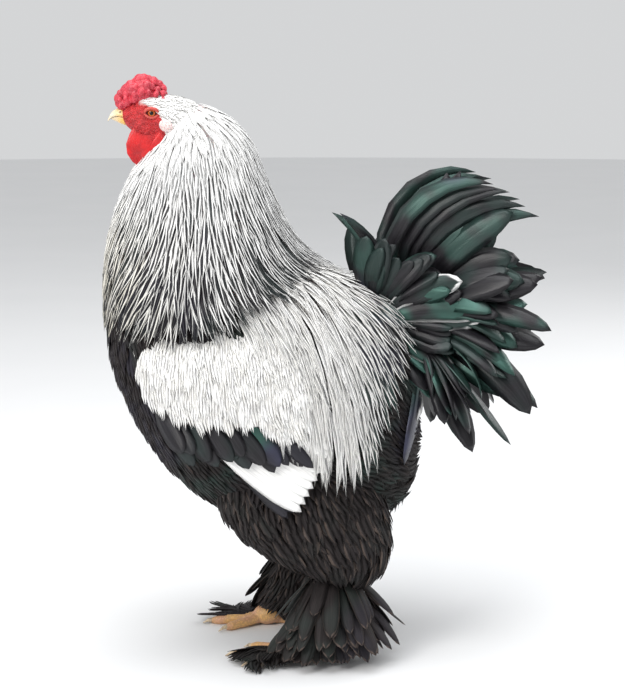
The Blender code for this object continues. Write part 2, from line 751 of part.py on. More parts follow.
def leg_vane(root, heading, fall, length, width, flare=0.0, outline=BROAD):
    # A boot feather: heading is its way on the ground plan in degrees, 0 forward,
    # 90 to the bird's own outer side; it starts sloping and hangs steeper
    turn = math.radians(heading)
    level = Vector((-math.cos(turn), math.sin(turn), 0.0))
    centre = Vector(root)
    centres, outs = [], []
    steps, reached = 20, 0
    for step in range(steps + 1):
        t = step / steps
        steep = math.radians(fall * (0.55 + 0.45 * t) - flare * t * t)
        ahead = level * math.cos(steep) + Vector((0, 0, -math.sin(steep)))
        if reached < len(outline) and t >= outline[reached][0] - 1e-6:
            centres.append(centre.copy())
            outs.append(level * math.sin(steep) + Vector((0, 0, math.cos(steep))))
            reached += 1
        centre = centre + ahead * length / steps
    return vane(centres, outs, width, outline, thick=0.0018, cup=0.22)


def hock_feathers(side, back):
    # Soft feathers round the foot of the thigh
    made = []
    for row, (z, out, length, fall) in enumerate(HOCK_ROWS):
        for k in range(7 - row):
            heading = HOCK_FIRST + HOCK_TURN * (k + 0.5 * row) / 6
            turn = math.radians(heading)
            root = (
                HOCK_X + back - out * 1.25 * math.cos(turn),
                side * (HOCK_Y + out * 0.60 * math.sin(turn)),
                z,
            )
            made.append(leg_vane(root, side * heading, fall, length, 0.028, flare=8, outline=TUFT))
    return made


def shank_core(name, side, back):
    rings = []
    for x, z, long, wide in SHANK:
        ring = []
        for k in range(12):
            angle = 2 * math.pi * k / 12
            y = side * STANCE_Y + wide * math.sin(angle)
            ring.append(Vector((x + back + long * math.cos(angle), y, z)))
        rings.append(ring)
    return loft(name, rings)


def boot_feathers(side, back):
    # Tiers down the outer side and back of the shank, each rooted inside it
    made = []
    heights = [row[1] for row in reversed(SHANK)]
    for row, (z, length, fall, count) in enumerate(BOOT_TIERS):
        x, long, wide = (
            float(np.interp(z, heights, [part[i] for part in reversed(SHANK)])) for i in (0, 2, 3)
        )
        for k in range(count):
            heading = BOOT_FIRST + BOOT_TURN * (k + 0.5 * (row % 2)) / count
            turn = math.radians(heading)
            root = (
                x + back - BOOT_ROOT * long * math.cos(turn),
                side * (STANCE_Y + BOOT_ROOT * wide * math.sin(turn)),
                z,
            )
            reach = length * rng.uniform(0.95, 1.0)
            made.append(leg_vane(root, side * heading, fall, reach, 0.036, flare=10, outline=FAN))
    return made


def toe_tip(side, back, angle, length):
    turn = math.radians(angle)
    return (BALL_X + back - length * math.cos(turn), side * STANCE_Y + side * length * math.sin(turn))


def foot_core(name, side, back):
    ball_x = BALL_X + back
    centre = (ball_x + FOOT_BALL[0], side * STANCE_Y, FOOT_BALL[1])
    foot = ball(name, centre, FOOT_RADII, rings=5, around=8)
    toes = []
    for _, angle, length in TOES:
        tip = toe_tip(side, back, angle, length)
        centres, radii = [], []
        for share, high, fat in TOE:
            centres.append(
                (
                    ball_x + (tip[0] - ball_x) * share,
                    side * STANCE_Y + (tip[1] - side * STANCE_Y) * share,
                    high,
                )
            )
            radii.append(fat)
        toes.append(tube("toe", centres, radii, around=6, flat_floor=True))
    return combine(foot, toes, "UNION")


def toe_feathers(side, back):
    # Feathering on the outer and middle toes
    made = []
    for angle, reach, share, heading, length in TOE_FEATHERS:
        tip = toe_tip(side, back, angle, reach)
        x = BALL_X + back + (tip[0] - BALL_X - back) * share
        y = side * STANCE_Y + (tip[1] - side * STANCE_Y) * share
        root = (x, y, TOE_FEATHER_Z)
        made.append(leg_vane(root, side * heading, 14, length, 0.022, flare=14, outline=TUFT))
    return made


def claws(side_name, side, back):
    made = []
    for toe, angle, length in TOES:
        tip = toe_tip(side, back, angle, length - CLAW_INSIDE)
        turn = math.radians(angle)
        centres, radii = [], []
        for share, high, fat in CLAW:
            far = CLAW_LENGTH * share
            centres.append((tip[0] - far * math.cos(turn), tip[1] + side * far * math.sin(turn), high))
            radii.append(fat)
        made.append(tube(f"claw_{side_name}_{toe}", centres, radii, around=6, flat_floor=True))
    return made


def head_solid():
    head = slices("head", HEAD_X, HEAD_TOP, HEAD_JAW, HEAD_HALF, 2.1, 16)
    extras = []
    for _, side in SIDES:
        ring = []
        for k in range(8):
            angle = 2 * math.pi * k / 8
            ring.append(
                (
                    EYE_X + LID_R * 1.15 * math.cos(angle),
                    side * (0.0186 - 0.0009 * math.cos(angle)),
                    EYE_Z + LID_R * 0.92 * math.sin(angle),
                )
            )
        extras.append(torus("lid", ring, LID_THICK))
        extras.append(ball("cheek", (CHEEK[0], side * CHEEK[1], CHEEK[2]), CHEEK_RADII, 5, 8, 20))
    return combine(head, extras, "UNION")


def torus(name, ring, radius, around=4):
    # A closed tube round a ring of points
    count = len(ring)
    middle = sum((Vector(p) for p in ring), Vector()) / count
    points, faces = [], []
    for i in range(count):
        ahead = (Vector(ring[(i + 1) % count]) - Vector(ring[i - 1])).normalized()
        out = (Vector(ring[i]) - middle).normalized()
        up = ahead.cross(out).normalized()
        for k in range(around):
            angle = 2 * math.pi * k / around
            points.append(Vector(ring[i]) + radius * (math.cos(angle) * out + math.sin(angle) * up))
    for i in range(count):
        for k in range(around):
            a, b = i * around + k, i * around + (k + 1) % around
            c, d = ((i + 1) % count) * around + (k + 1) % around, ((i + 1) % count) * around + k
            faces.append((a, b, c, d))
    return piece(name, points, faces)


def bill_solid(name, xs, outer, halves, upper):
    # One half of the bill: a rounded outside and a flat mouth side
    rings = []
    for x, z, half in zip(xs, outer, halves):
        mouth = smooth(BILL_X[::-1], MOUTH_Z[::-1], x) + (MOUTH_SLIT if upper else -MOUTH_SLIT) / 2
        ring = []
        for k in range(9):
            angle = math.pi * k / 8
            ring.append(
                Vector((x, half * math.cos(angle), mouth + (z - mouth) * max(math.sin(angle), 0.0) ** 0.8))
            )
        ring.append(Vector((x, 0.0, mouth)))
        rings.append(ring)
    return loft(name, rings)


def comb_solid():
    # A pea comb: three rows of small beads on a low base, the middle row highest
    comb = ball("comb", COMB, COMB_RADII, 6, 10, COMB_TILT)
    beads = []
    for y, high, radius in COMB_ROWS:
        for k in range(COMB_BEADS):
            t = k / (COMB_BEADS - 1)
            x = COMB_FRONT + COMB_LONG * t
            z = COMB_FOOT + COMB_HIGH * math.sin(math.pi * (0.12 + 0.66 * t)) + high
            size = radius * (0.94 + 0.3 * math.sin(math.pi * t)) * rng.uniform(0.9, 1.1)
            beads.append(ball("bead", (x, y, z), (size * 1.1, size * 0.95, size * 1.3), 3, 6))
    return combine(comb, beads, "UNION")


def wattle_solid(name, side):
    # A rounded flap that hangs from the jaw, fuller at the foot, with a front fold
    rings = []
    for share, x_back, half, thick in WATTLE:
        ring = []
        for k in range(10):
            angle = 2 * math.pi * k / 10
            away = WATTLE_Y + WATTLE_SPLAY * math.sin(math.pi * share) + WATTLE_FOLD * math.cos(2 * angle)
            ring.append(
                Vector(
                    (
                        WATTLE_X + x_back + half * math.cos(angle),
                        side * away + thick * math.sin(angle),
                        WATTLE_TOP - WATTLE_LENGTH * share,
                    )
                )
            )
        rings.append(ring)
    return loft(name, rings)


def centre_over_floor():
    # Moves everything together, so that the bounding box stands centred over the origin
    points = [v.co for obj in bpy.data.objects for v in obj.data.vertices]
    middle_x = (min(p.x for p in points) + max(p.x for p in points)) / 2
    middle_y = (min(p.y for p in points) + max(p.y for p in points)) / 2
    for obj in bpy.data.objects:
        for vert in obj.data.vertices:
            vert.co.x -= middle_x
            vert.co.y -= middle_y


def split_trunk(body):
    # The saddle is the trunk's upper back, cut off with a gap all along
    low, high = Vector((SADDLE_FRONT, -0.2, SADDLE_FLOOR)), Vector((0.20, 0.2, 0.6))
    saddle = grown(body, 0.0)
    saddle.name = "saddle"
    combine(saddle, [box("block", low, high)], "INTERSECT")
    combine(body, [box("block", low - Vector((GAP, GAP, GAP)), high)], "DIFFERENCE")
    cutters = dress(saddle, saddle_feathers())
    paint(body, BLACK_GREEN)
    paint(saddle, WHITE)
    return cutters


def make_head():
    head = head_solid()
    eyes, pits = [], []
    for name, side in SIDES:
        eye = ball("eye_" + name, (EYE_X, side * EYE_Y, EYE_Z), (EYE_R, EYE_R, EYE_R), 6, 8)
        paint(eye, AMBER, 0.1)
        eyes.append(eye)
        pits.append(ball("pit", (EAR_X, side * EAR_Y, EAR_Z), (EAR_R, EAR_R * 0.8, EAR_R), 4, 6))
    combine(head, pits, "DIFFERENCE")
    clear_of(head, eyes)
    paint(head, FACE_RED, 0.55)
    return head


def make_bill(head):
    upper = bill_solid("beak_upper", BILL_X, CULMEN_Z, BILL_HALF, True)
    lower = bill_solid("beak_lower", GONYS_X, GONYS_Z, LOWER_HALF, False)
    holes = []
    for _, side in SIDES:
        holes.append(ball("hole", (NOSTRIL[0], side * NOSTRIL[1], NOSTRIL[2]), NOSTRIL_RADII, 4, 6))
    combine(upper, holes, "DIFFERENCE")
    for bill in (upper, lower):
        clear_of(bill, [head])
        paint(bill, YELLOW, 0.45)
    return upper, lower


def make_folds(head, upper, lower):
    # The comb, the wattles and the ear lobes
    comb = comb_solid()
    clear_of(comb, [head, upper])
    paint(comb, RED, 0.5)
    folds = [comb]
    for name, side in SIDES:
        wattle = wattle_solid("wattle_" + name, side)
        clear_of(wattle, [head, lower])
        paint(wattle, RED, 0.5)
        lobe = ball("ear_lobe_" + name, (LOBE[0], side * LOBE[1], LOBE[2]), LOBE_RADII, 6, 9, LOBE_TILT)
        clear_of(lobe, [head])
        paint(lobe, LOBE_WHITE, 0.6)
        folds += [wattle, lobe]
    return folds


def make_leg(name, side, body):
    back = LEG_BACK[name]
    thigh = thigh_core("thigh_" + name, side, back)
    clear_of(thigh, [body])
    thigh_cutters = dress(thigh, hock_feathers(side, back))
    shank = shank_core("shank_" + name, side, back)
    shank_cutters = dress(shank, boot_feathers(side, back))
    cut_back(shank, thigh_cutters)
    foot = foot_core("foot_" + name, side, back)
    foot_cutters = dress(foot, toe_feathers(side, back))
    cut_back(foot, shank_cutters)
    for claw in claws(name, side, back):
        cut_back(claw, foot_cutters)
        paint(claw, YELLOW, 0.4)
    discard(thigh_cutters + shank_cutters + foot_cutters)
    paint(thigh, BROWN_BLACK)
    paint(shank, BROWN_BLACK)
    paint(foot, SKIN_YELLOW, 0.6)


def build():
    clear_scene()
    body = trunk()
    # The trunk's cutter stands off a little more, so that it and the saddle's never nearly meet
    whole_cutter = grown(body, WIDE_GAP)
    under = [whole_cutter, *split_trunk(body)]
    head = make_head()
    folds = make_folds(head, *make_bill(head))

    neck = neck_core()
    combine(neck, cape_feathers(), "UNION")
    paint(neck, WHITE)
    tail = ball("tail", TAIL_ROOT, TAIL_CORE, 6, 10)
    combine(tail, tail_feathers(), "UNION")
    cut_back(tail, under)
    paint(tail, BLACK_GREEN, 0.4)
    wing_cutters = []
    for name, side in SIDES:
        wing = wing_core(side)
        wing.name = "wing_" + name
        wing_cutters += dress(wing, wing_feathers(side))
        cut_back(wing, under)
        paint(wing, WHITE)
    cut_back(neck, under + wing_cutters)
    clear_of(neck, [head, *folds])
    discard(under + wing_cutters)
    for name, side in SIDES:
        make_leg(name, side, body)
    centre_over_floor()


build()
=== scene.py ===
# %% [markdown]
# A brahma cockerel, life size, as a still museum model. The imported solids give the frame: where
# the trunk, the cape, the wings, the legs and the head lie. This lesson dresses them: one skin,
# then the coat, feather by feather, then the bare parts of the head and the feet.

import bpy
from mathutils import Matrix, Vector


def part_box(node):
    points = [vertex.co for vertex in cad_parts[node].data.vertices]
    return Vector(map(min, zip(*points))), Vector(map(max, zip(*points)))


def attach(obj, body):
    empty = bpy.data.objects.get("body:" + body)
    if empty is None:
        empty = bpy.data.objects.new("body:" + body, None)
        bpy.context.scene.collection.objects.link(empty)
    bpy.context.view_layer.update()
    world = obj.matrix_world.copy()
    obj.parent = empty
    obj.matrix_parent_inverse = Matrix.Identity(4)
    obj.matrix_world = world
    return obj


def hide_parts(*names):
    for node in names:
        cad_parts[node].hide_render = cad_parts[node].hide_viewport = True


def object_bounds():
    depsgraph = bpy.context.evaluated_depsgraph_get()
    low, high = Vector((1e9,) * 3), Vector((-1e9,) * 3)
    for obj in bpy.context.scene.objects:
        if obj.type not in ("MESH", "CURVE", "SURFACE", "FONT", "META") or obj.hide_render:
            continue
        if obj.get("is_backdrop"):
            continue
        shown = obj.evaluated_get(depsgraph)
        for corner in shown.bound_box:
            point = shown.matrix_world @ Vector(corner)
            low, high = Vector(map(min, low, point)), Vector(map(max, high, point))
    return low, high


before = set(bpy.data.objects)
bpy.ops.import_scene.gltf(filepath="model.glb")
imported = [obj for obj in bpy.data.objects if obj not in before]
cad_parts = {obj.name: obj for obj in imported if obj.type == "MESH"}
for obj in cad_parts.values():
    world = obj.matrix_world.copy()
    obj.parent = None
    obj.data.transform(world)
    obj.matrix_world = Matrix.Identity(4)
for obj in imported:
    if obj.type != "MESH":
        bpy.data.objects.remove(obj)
cad_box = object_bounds()
print("The solids reach", [round(v, 3) for corner in cad_box for v in corner])

# %% Helpers that every step needs
import math

import bpy
import numpy as np
from mathutils import Vector

rng = np.random.default_rng(7)
SIDES = (("left", -1.0), ("right", 1.0))


def deselect():
    if bpy.context.object and bpy.context.object.mode != "OBJECT":
        bpy.ops.object.mode_set(mode="OBJECT")
    bpy.ops.object.select_all(action="DESELECT")


# Places along X below are measured from the cockerel's own zero; the frame stands it elsewhere
EYE_X = -0.1605
eye_low, eye_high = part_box("eye_left")
SHIFT = ((eye_low + eye_high) / 2).x - EYE_X
print("The frame stands the cockerel", round(SHIFT * 1000, 1), "mm along X")

# %% [markdown]
# The camera stands 1.9 m away and looks down by ten degrees, as one does at a bird on the ground.
# The angle of view comes from the width that the picture takes in at that distance.

# %% Camera, floor and light
DISTANCE, ELEVATION, PICTURE_WIDTH = 1.9, math.radians(10), 0.701
TARGET = Vector((0.0138 + SHIFT, 0.0, 0.3411))
camera = bpy.data.objects.new("camera", bpy.data.cameras.new("camera"))
bpy.context.scene.collection.objects.link(camera)
back = Vector((0, -math.cos(ELEVATION), math.sin(ELEVATION)))
camera.location = TARGET + back * DISTANCE
camera.rotation_euler = (-back).to_track_quat("-Z", "Y").to_euler()
camera.data.sensor_fit = "HORIZONTAL"
camera.data.angle = 2 * math.atan(PICTURE_WIDTH / 2 / DISTANCE)
bpy.context.scene.camera = camera


def softbox(name, place, size, watts, colour=(1, 1, 1)):
    light = bpy.data.lights.new(name, "AREA")
    light.shape, light.size, light.energy, light.color = "DISK", size, watts, colour
    box = bpy.data.objects.new(name, light)
    box.location = place
    box.rotation_euler = (TARGET - Vector(place)).to_track_quat("-Z", "Y").to_euler()
    bpy.context.scene.collection.objects.link(box)


softbox("sky_box", (-0.1, -0.5, 2.6), 2.2, 50, (0.97, 0.985, 1.0))
softbox("key_box", (-1.6, -1.9, 1.7), 1.1, 36, (1.0, 0.985, 0.96))
softbox("rear_box", (1.7, 1.6, 1.5), 1.4, 16)
bpy.context.scene.view_settings.view_transform = "Standard"
world = bpy.data.worlds.new("studio")
bpy.context.scene.world = world
world.use_nodes = True
world.node_tree.nodes["Background"].inputs[0].default_value = (0.88, 0.89, 0.90, 1)
world.node_tree.nodes["Background"].inputs[1].default_value = 0.75

deselect()
FLOOR_RADIUS = 9.0
bpy.ops.mesh.primitive_circle_add(vertices=96, radius=FLOOR_RADIUS, fill_type="TRIFAN")
floor = bpy.context.object
floor.name = "floor"
floor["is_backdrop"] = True
print("Camera", [round(v, 3) for v in camera.location])

# %% [markdown]
# Materials are graphs of nodes. Written as sums they read like any formula, so a small class
# wraps a socket and turns plus, minus and times into Math nodes. Every other node comes from one
# method that takes the node's type, its settings and what goes into its sockets.

# %% Sums of sockets, and a finish


class Value:
    def __init__(self, finish, socket):
        self.finish, self.socket = finish, socket

    def sum_with(self, operation, *others, turned=False):
        terms = [self, *others]
        if turned:
            terms.reverse()
        return self.finish.node("ShaderNodeMath", {"operation": operation}, dict(enumerate(terms)))

    def __add__(self, other):
        return self.sum_with("ADD", other)

    def __sub__(self, other):
        return self.sum_with("SUBTRACT", other)

    def __rsub__(self, other):
        return self.sum_with("SUBTRACT", other, turned=True)

    def __mul__(self, other):
        return self.sum_with("MULTIPLY", other)

    def __truediv__(self, other):
        return self.sum_with("DIVIDE", other)

    def __abs__(self):
        return self.sum_with("ABSOLUTE")

    __radd__, __rmul__ = __add__, __mul__

    def sine(self):
        return self.sum_with("SINE")

    def rise(self, low, high):
        # 0 below low, 1 above high, and an easy slope between them
        sockets = {"Value": self, "From Min": low, "From Max": high}
        return self.finish.node("ShaderNodeMapRange", {"interpolation_type": "SMOOTHSTEP"}, sockets)


class Finish:
    def __init__(self, name, **constants):
        self.material = bpy.data.materials.new(name)
        self.material.use_nodes = True
        self.tree = self.material.node_tree
        self.shader = self.tree.nodes["Principled BSDF"]
        for socket, value in constants.items():
            self.shader.inputs[socket.replace("_", " ")].default_value = value

    def plug(self, socket, value):
        if isinstance(value, Value):
            self.tree.links.new(value.socket, socket)
        elif socket.type == "RGBA":
            socket.default_value = (*value, 1.0)
        else:
            socket.default_value = value

    def node(self, kind, settings=None, sockets=None, out=0):
        made = self.tree.nodes.new(kind)
        for key, value in (settings or {}).items():
            setattr(made, key, value)
        for key, value in (sockets or {}).items():
            if isinstance(key, int):
                socket = made.inputs[key]
            else:
                socket = next(s for s in made.inputs if s.name == key and s.enabled)
            self.plug(socket, value)
        outs = [s for s in made.outputs if s.enabled]
        return Value(self, next((s for s in outs if s.name == out), None) or outs[out])

    def mix(self, share, first, second, kind="MIX"):
        settings = {"data_type": "RGBA", "blend_type": kind, "clamp_factor": True}
        return self.node("ShaderNodeMix", settings, {"Factor": share, "A": first, "B": second})

    def attribute(self, name, out="Fac"):
        return self.node("ShaderNodeAttribute", {"attribute_name": name}, out=out)

    def split(self, vector):
        return [self.node("ShaderNodeSeparateXYZ", None, {0: vector}, out=k) for k in range(3)]

    def join(self, x, y, z):
        return self.node("ShaderNodeCombineXYZ", None, {0: x, 1: y, 2: z})

    def place(self):
        return self.node("ShaderNodeTexCoord", out="Object")

    def noise(self, vector, scale, detail=2.0, rough=0.5):
        sockets = {"Vector": vector, "Scale": scale, "Detail": detail, "Roughness": rough}
        return self.node("ShaderNodeTexNoise", None, sockets)

    def cells(self, vector, scale):
        return self.node("ShaderNodeTexVoronoi", None, {"Vector": vector, "Scale": scale})

    def bump(self, height, strength, reach):
        sockets = {"Height": height, "Strength": strength, "Distance": reach}
        self.set("Normal", self.node("ShaderNodeBump", None, sockets))

    def set(self, socket, value):
        self.plug(self.shader.inputs[socket], value)


def wear(obj, finish):
    obj.data.materials.clear()
    obj.data.materials.append(finish.material)


paper = Finish("pale_floor", Roughness=0.9)
paper.set("Base Color", paper.mix(paper.noise(paper.place(), 3.0), (0.80, 0.805, 0.81), (0.84, 0.84, 0.845)))
wear(floor, paper)
print("Finishes so far:", len(bpy.data.materials))

# %% [markdown]
# The coat lies on a few smooth forms: the trunk, the cape round the neck and the legs. Each is a
# function of two numbers, one down the lie of the feathers and one across it, and gives a place
# at any height over the form. Smooth curves through a few stations give the sizes in between.

# %% The forms under the coat
TRUNK_X = (-0.2145, -0.205, -0.185, -0.160, -0.130, -0.090, -0.040, 0.010, 0.050, 0.080, 0.105, 0.124, 0.136)
TRUNK_TOP = (0.385, 0.415, 0.431, 0.437, 0.439, 0.440, 0.439, 0.434, 0.419, 0.408, 0.393, 0.372, 0.335)
TRUNK_KEEL = (0.360, 0.320, 0.272, 0.230, 0.196, 0.168, 0.155, 0.151, 0.152, 0.156, 0.166, 0.188, 0.230)
TRUNK_HALF = (0.010, 0.045, 0.079, 0.103, 0.117, 0.124, 0.124, 0.120, 0.110, 0.098, 0.080, 0.058, 0.026)
TRUNK_SQUARE, HANG = 2.25, 0.10
CAPE_V = (-0.2, 0.0, 0.17, 0.33, 0.5, 0.67, 0.83, 1.0)
CAPE_FRONT_X = (-0.145, -0.161, -0.179, -0.194, -0.207, -0.216, -0.2195, -0.219)
CAPE_FRONT_Z = (0.592, 0.569, 0.550, 0.524, 0.492, 0.452, 0.410, 0.369)
CAPE_BACK_X = (-0.112, -0.090, -0.066, -0.049, -0.036, -0.020, 0.002, 0.036)
CAPE_BACK_Z = (0.617, 0.608, 0.591, 0.567, 0.534, 0.498, 0.463, 0.438)
CAPE_HALF = (0.020, 0.031, 0.044, 0.059, 0.078, 0.099, 0.118, 0.130)
CAPE_DROP = (0.0, 0.0, 0.002, 0.005, 0.010, 0.018, 0.027, 0.036)
# The thigh and the shank: place along X and Y, height, half length, half width
THIGH = (
    (-0.006, 0.046, 0.252, 0.030, 0.020),
    (-0.004, 0.058, 0.232, 0.066, 0.038),
    (0.000, 0.065, 0.205, 0.085, 0.044),
    (0.004, 0.069, 0.175, 0.090, 0.048),
    (0.012, 0.070, 0.148, 0.086, 0.048),
    (0.022, 0.068, 0.124, 0.070, 0.042),
    (0.030, 0.065, 0.106, 0.048, 0.031),
    (0.036, 0.063, 0.096, 0.024, 0.018),
)
SHANK = (
    (0.036, 0.056, 0.110, 0.016, 0.013),
    (0.036, 0.056, 0.092, 0.027, 0.019),
    (0.034, 0.056, 0.072, 0.031, 0.021),
    (0.024, 0.056, 0.052, 0.028, 0.020),
    (0.006, 0.056, 0.034, 0.019, 0.015),
    (-0.008, 0.056, 0.020, 0.012, 0.011),
    (-0.011, 0.056, 0.012, 0.010, 0.009),
)
LEG_BACK = {-1.0: 0.0, 1.0: -0.032}


def curve(keys, values, at):
    # A smooth curve through the values, read at many places at once
    keys, values = np.asarray(keys, float), np.asarray(values, float)
    slopes = np.gradient(values, keys)
    at = np.clip(at, keys[0], keys[-1])
    i = np.clip(np.searchsorted(keys, at) - 1, 0, len(keys) - 2)
    span = keys[i + 1] - keys[i]
    t = (at - keys[i]) / span
    return (
        (2 * t**3 - 3 * t**2 + 1) * values[i]
        + (t**3 - 2 * t**2 + t) * span * slopes[i]
        + (-2 * t**3 + 3 * t**2) * values[i + 1]
        + (t**3 - t**2) * span * slopes[i + 1]
    )


def unit(v):
    return v / np.maximum(np.linalg.norm(v, axis=-1, keepdims=True), 1e-9)


def raised(bare, a, b, side, lift, step_a, step_b):
    # A place over a form: its outward direction comes from two small steps along it
    here = bare(a, b)
    down = bare(a + step_a, b) - bare(a - step_a, b)
    across = bare(a, b + step_b) - bare(a, b - step_b)
    out = unit(np.cross(across, down))
    point = here + out * np.asarray(lift)[..., None]
    point[..., 1] *= side
    point[..., 0] += SHIFT
    return point


def slice_of(rows, x, q, square):
    # A rounded slice across X: q 0 is its top, 1 its widest place, 2 its bottom
    top, low, half = (curve(rows[0], row, x) for row in rows[1:])
    angle = q * math.pi / 2
    c = np.cos(angle)
    z = (top + low) / 2 + (top - low) / 2 * np.sign(c) * np.abs(c) ** (2 / square)
    return half * np.sin(angle) ** (2 / square), z


TRUNK = (TRUNK_X, TRUNK_TOP, TRUNK_KEEL, TRUNK_HALF)


def flank(q, x, side, lift=0.0):
    # q 0 is the ridge of the back, 1 the widest line; past it the coat hangs plumb
    def bare(q, x):
        y, z = slice_of(TRUNK, x, np.clip(q, 0.012, 1.0), TRUNK_SQUARE)
        return np.stack([x, y, z - np.maximum(q - 1.0, 0.0) * HANG], -1)

    return raised(bare, np.maximum(q, 0.03), x, side, lift, 0.01, 0.01)


def girdle(q, x, side, lift=0.0):
    # The whole section of the trunk: q 0 is the ridge, 1 the widest line, 2 the keel
    def bare(q, x):
        return np.stack([x, *slice_of(TRUNK, x, np.clip(q, 0.02, 1.98), TRUNK_SQUARE)], -1)

    return raised(bare, np.clip(q, 0.04, 1.96), np.clip(x, -0.213, 0.1345), side, lift, 0.012, 0.002)


def cape(v, turn, side, lift=0.0):
    # v 0 is the throat, 1 the hem; turn 0 is the front, 180 the back
    def bare(v, turn):
        front_x, back_x = curve(CAPE_V, CAPE_FRONT_X, v), curve(CAPE_V, CAPE_BACK_X, v)
        front_z, back_z = curve(CAPE_V, CAPE_FRONT_Z, v), curve(CAPE_V, CAPE_BACK_Z, v)
        past = np.maximum(v - 1.0, 0.0) * 0.22
        c, s = np.cos(np.radians(turn)), np.sin(np.radians(turn))
        x = (front_x + back_x) / 2 - (back_x - front_x) / 2 * c + past * (1 - c) * 0.4
        z = front_z + (back_z - front_z) * (1 - c) / 2 - curve(CAPE_V, CAPE_DROP, v) * s * s - past
        return np.stack([x, curve(CAPE_V, CAPE_HALF, v) * s, z], -1)

    return raised(bare, v, turn, side, lift, 0.01, 2.0)


def column(table, lean=0.0):
    # A leg's form: w 0 is its top station, 1 its last; turn 0 is the front, 90 the outer side
    rows = [np.array(row) for row in zip(*table)]
    keys = np.linspace(0, 1, len(table))

    def form(w, turn, side, lift=0.0):
        def bare(w, turn):
            x, y, z, long, wide = (curve(keys, row, w) for row in rows)
            c, s = np.cos(np.radians(turn)), np.sin(np.radians(turn))
            return np.stack([x + LEG_BACK[side] - long * c, y + wide * s, z + lean * c], -1)

        return raised(bare, w, turn, side, lift, 0.02, 2.0)

    return form


thigh, shank = column(THIGH, 0.012), column(SHANK)


def q_at(x, z):
    # The flank's q for a height
    top, keel = curve(TRUNK_X, TRUNK_TOP, x), curve(TRUNK_X, TRUNK_KEEL, x)
    middle, high = (top + keel) / 2, (top - keel) / 2
    share = np.clip((z - middle) / high, 0.0, 1.0)
    over = np.arccos(share ** (TRUNK_SQUARE / 2)) / (math.pi / 2)
    return np.where(z <= middle, 1.0 + (middle - z) / HANG, over)


print("Hem of the cape, front:", cape(np.array([1.0]), np.array([0.0]), -1.0)[0].round(3))

# %% [markdown]
# A feather is a thin blade: a few cross rows from its quill to its tip, each row a shallow roof
# with a flat belly. One pattern of faces serves every feather, so a whole tract of the coat is
# made at once from the places of its rows. Each blade carries a map of its own vane, u across
# and v along, and a second map that puts it on a small patch where it roots in the skin.

# %% A tract of feathers from its rows
BAKE_PATCH = 0.003


def mesh_piece(name, points, corners, sizes):
    mesh = bpy.data.meshes.new(name)
    mesh.vertices.add(len(points))
    mesh.vertices.foreach_set("co", np.ascontiguousarray(points, np.float32).ravel())
    mesh.loops.add(len(corners))
    mesh.loops.foreach_set("vertex_index", np.asarray(corners, np.int32))
    mesh.polygons.add(len(sizes))
    mesh.polygons.foreach_set("loop_start", np.r_[0, np.cumsum(sizes)[:-1]].astype(np.int32))
    mesh.polygons.foreach_set("use_smooth", np.ones(len(sizes), bool))
    mesh.update(calc_edges=True)
    obj = bpy.data.objects.new(name, mesh)
    bpy.context.scene.collection.objects.link(obj)
    return obj


def blade_faces(rows, ring):
    # Corners and sizes of one feather's faces: its sides, its pointed tip and its quill end
    corners, sizes = [], []
    for r in range(rows - 2):
        for k in range(ring):
            a, b = r * ring + k, r * ring + (k + 1) % ring
            corners += [a, b, b + ring, a + ring]
            sizes.append(4)
    last = (rows - 2) * ring
    for k in range(ring):
        corners += [last + k, last + (k + 1) % ring, (rows - 1) * ring]
        sizes.append(3)
    corners += list(range(ring))[::-1]
    sizes.append(ring)
    return np.array(corners), np.array(sizes)


def add_map(mesh, name, uv, corners):
    layer = mesh.uv_layers.new(name=name)
    layer.data.foreach_set("uv", np.ascontiguousarray(uv[corners], np.float32).ravel())


def along(tracks, rows, at):
    # The places of each feather's track at other shares of its length
    i = np.clip(np.searchsorted(rows, at) - 1, 0, len(rows) - 2)
    share = ((at - rows[i]) / (rows[i + 1] - rows[i]))[..., None]
    pick = np.arange(len(tracks))[:, None]
    return tracks[pick, i] * (1 - share) + tracks[pick, i + 1] * share


def blade_points(centres, side, out, mid, wide, taper, across, thick, cup):
    # Cross rows of one strip: mid is its place across the vane, wide its half width, both in metres
    ring = []
    for u in across:
        off = mid + wide * taper * u
        ring.append(centres + side * off + out * (thick * (1 - u * u) / 2 - cup * np.abs(off) * np.abs(u)))
    ring.append(centres + side * mid - out * (thick / 2 + 0.5 * cup * np.abs(wide * taper)))
    body = np.stack(ring, 2)[:, :-1].reshape(len(centres), -1, 3)
    return np.concatenate([body, (centres + side * mid)[:, -1:]], 1)


BROAD = (-1, -0.5, 0, 0.5, 1)
WHOLE, SPLIT = ((-1.0, 1.0),), ((-1.0, -0.34), (-0.36, 0.36), (0.34, 1.0))


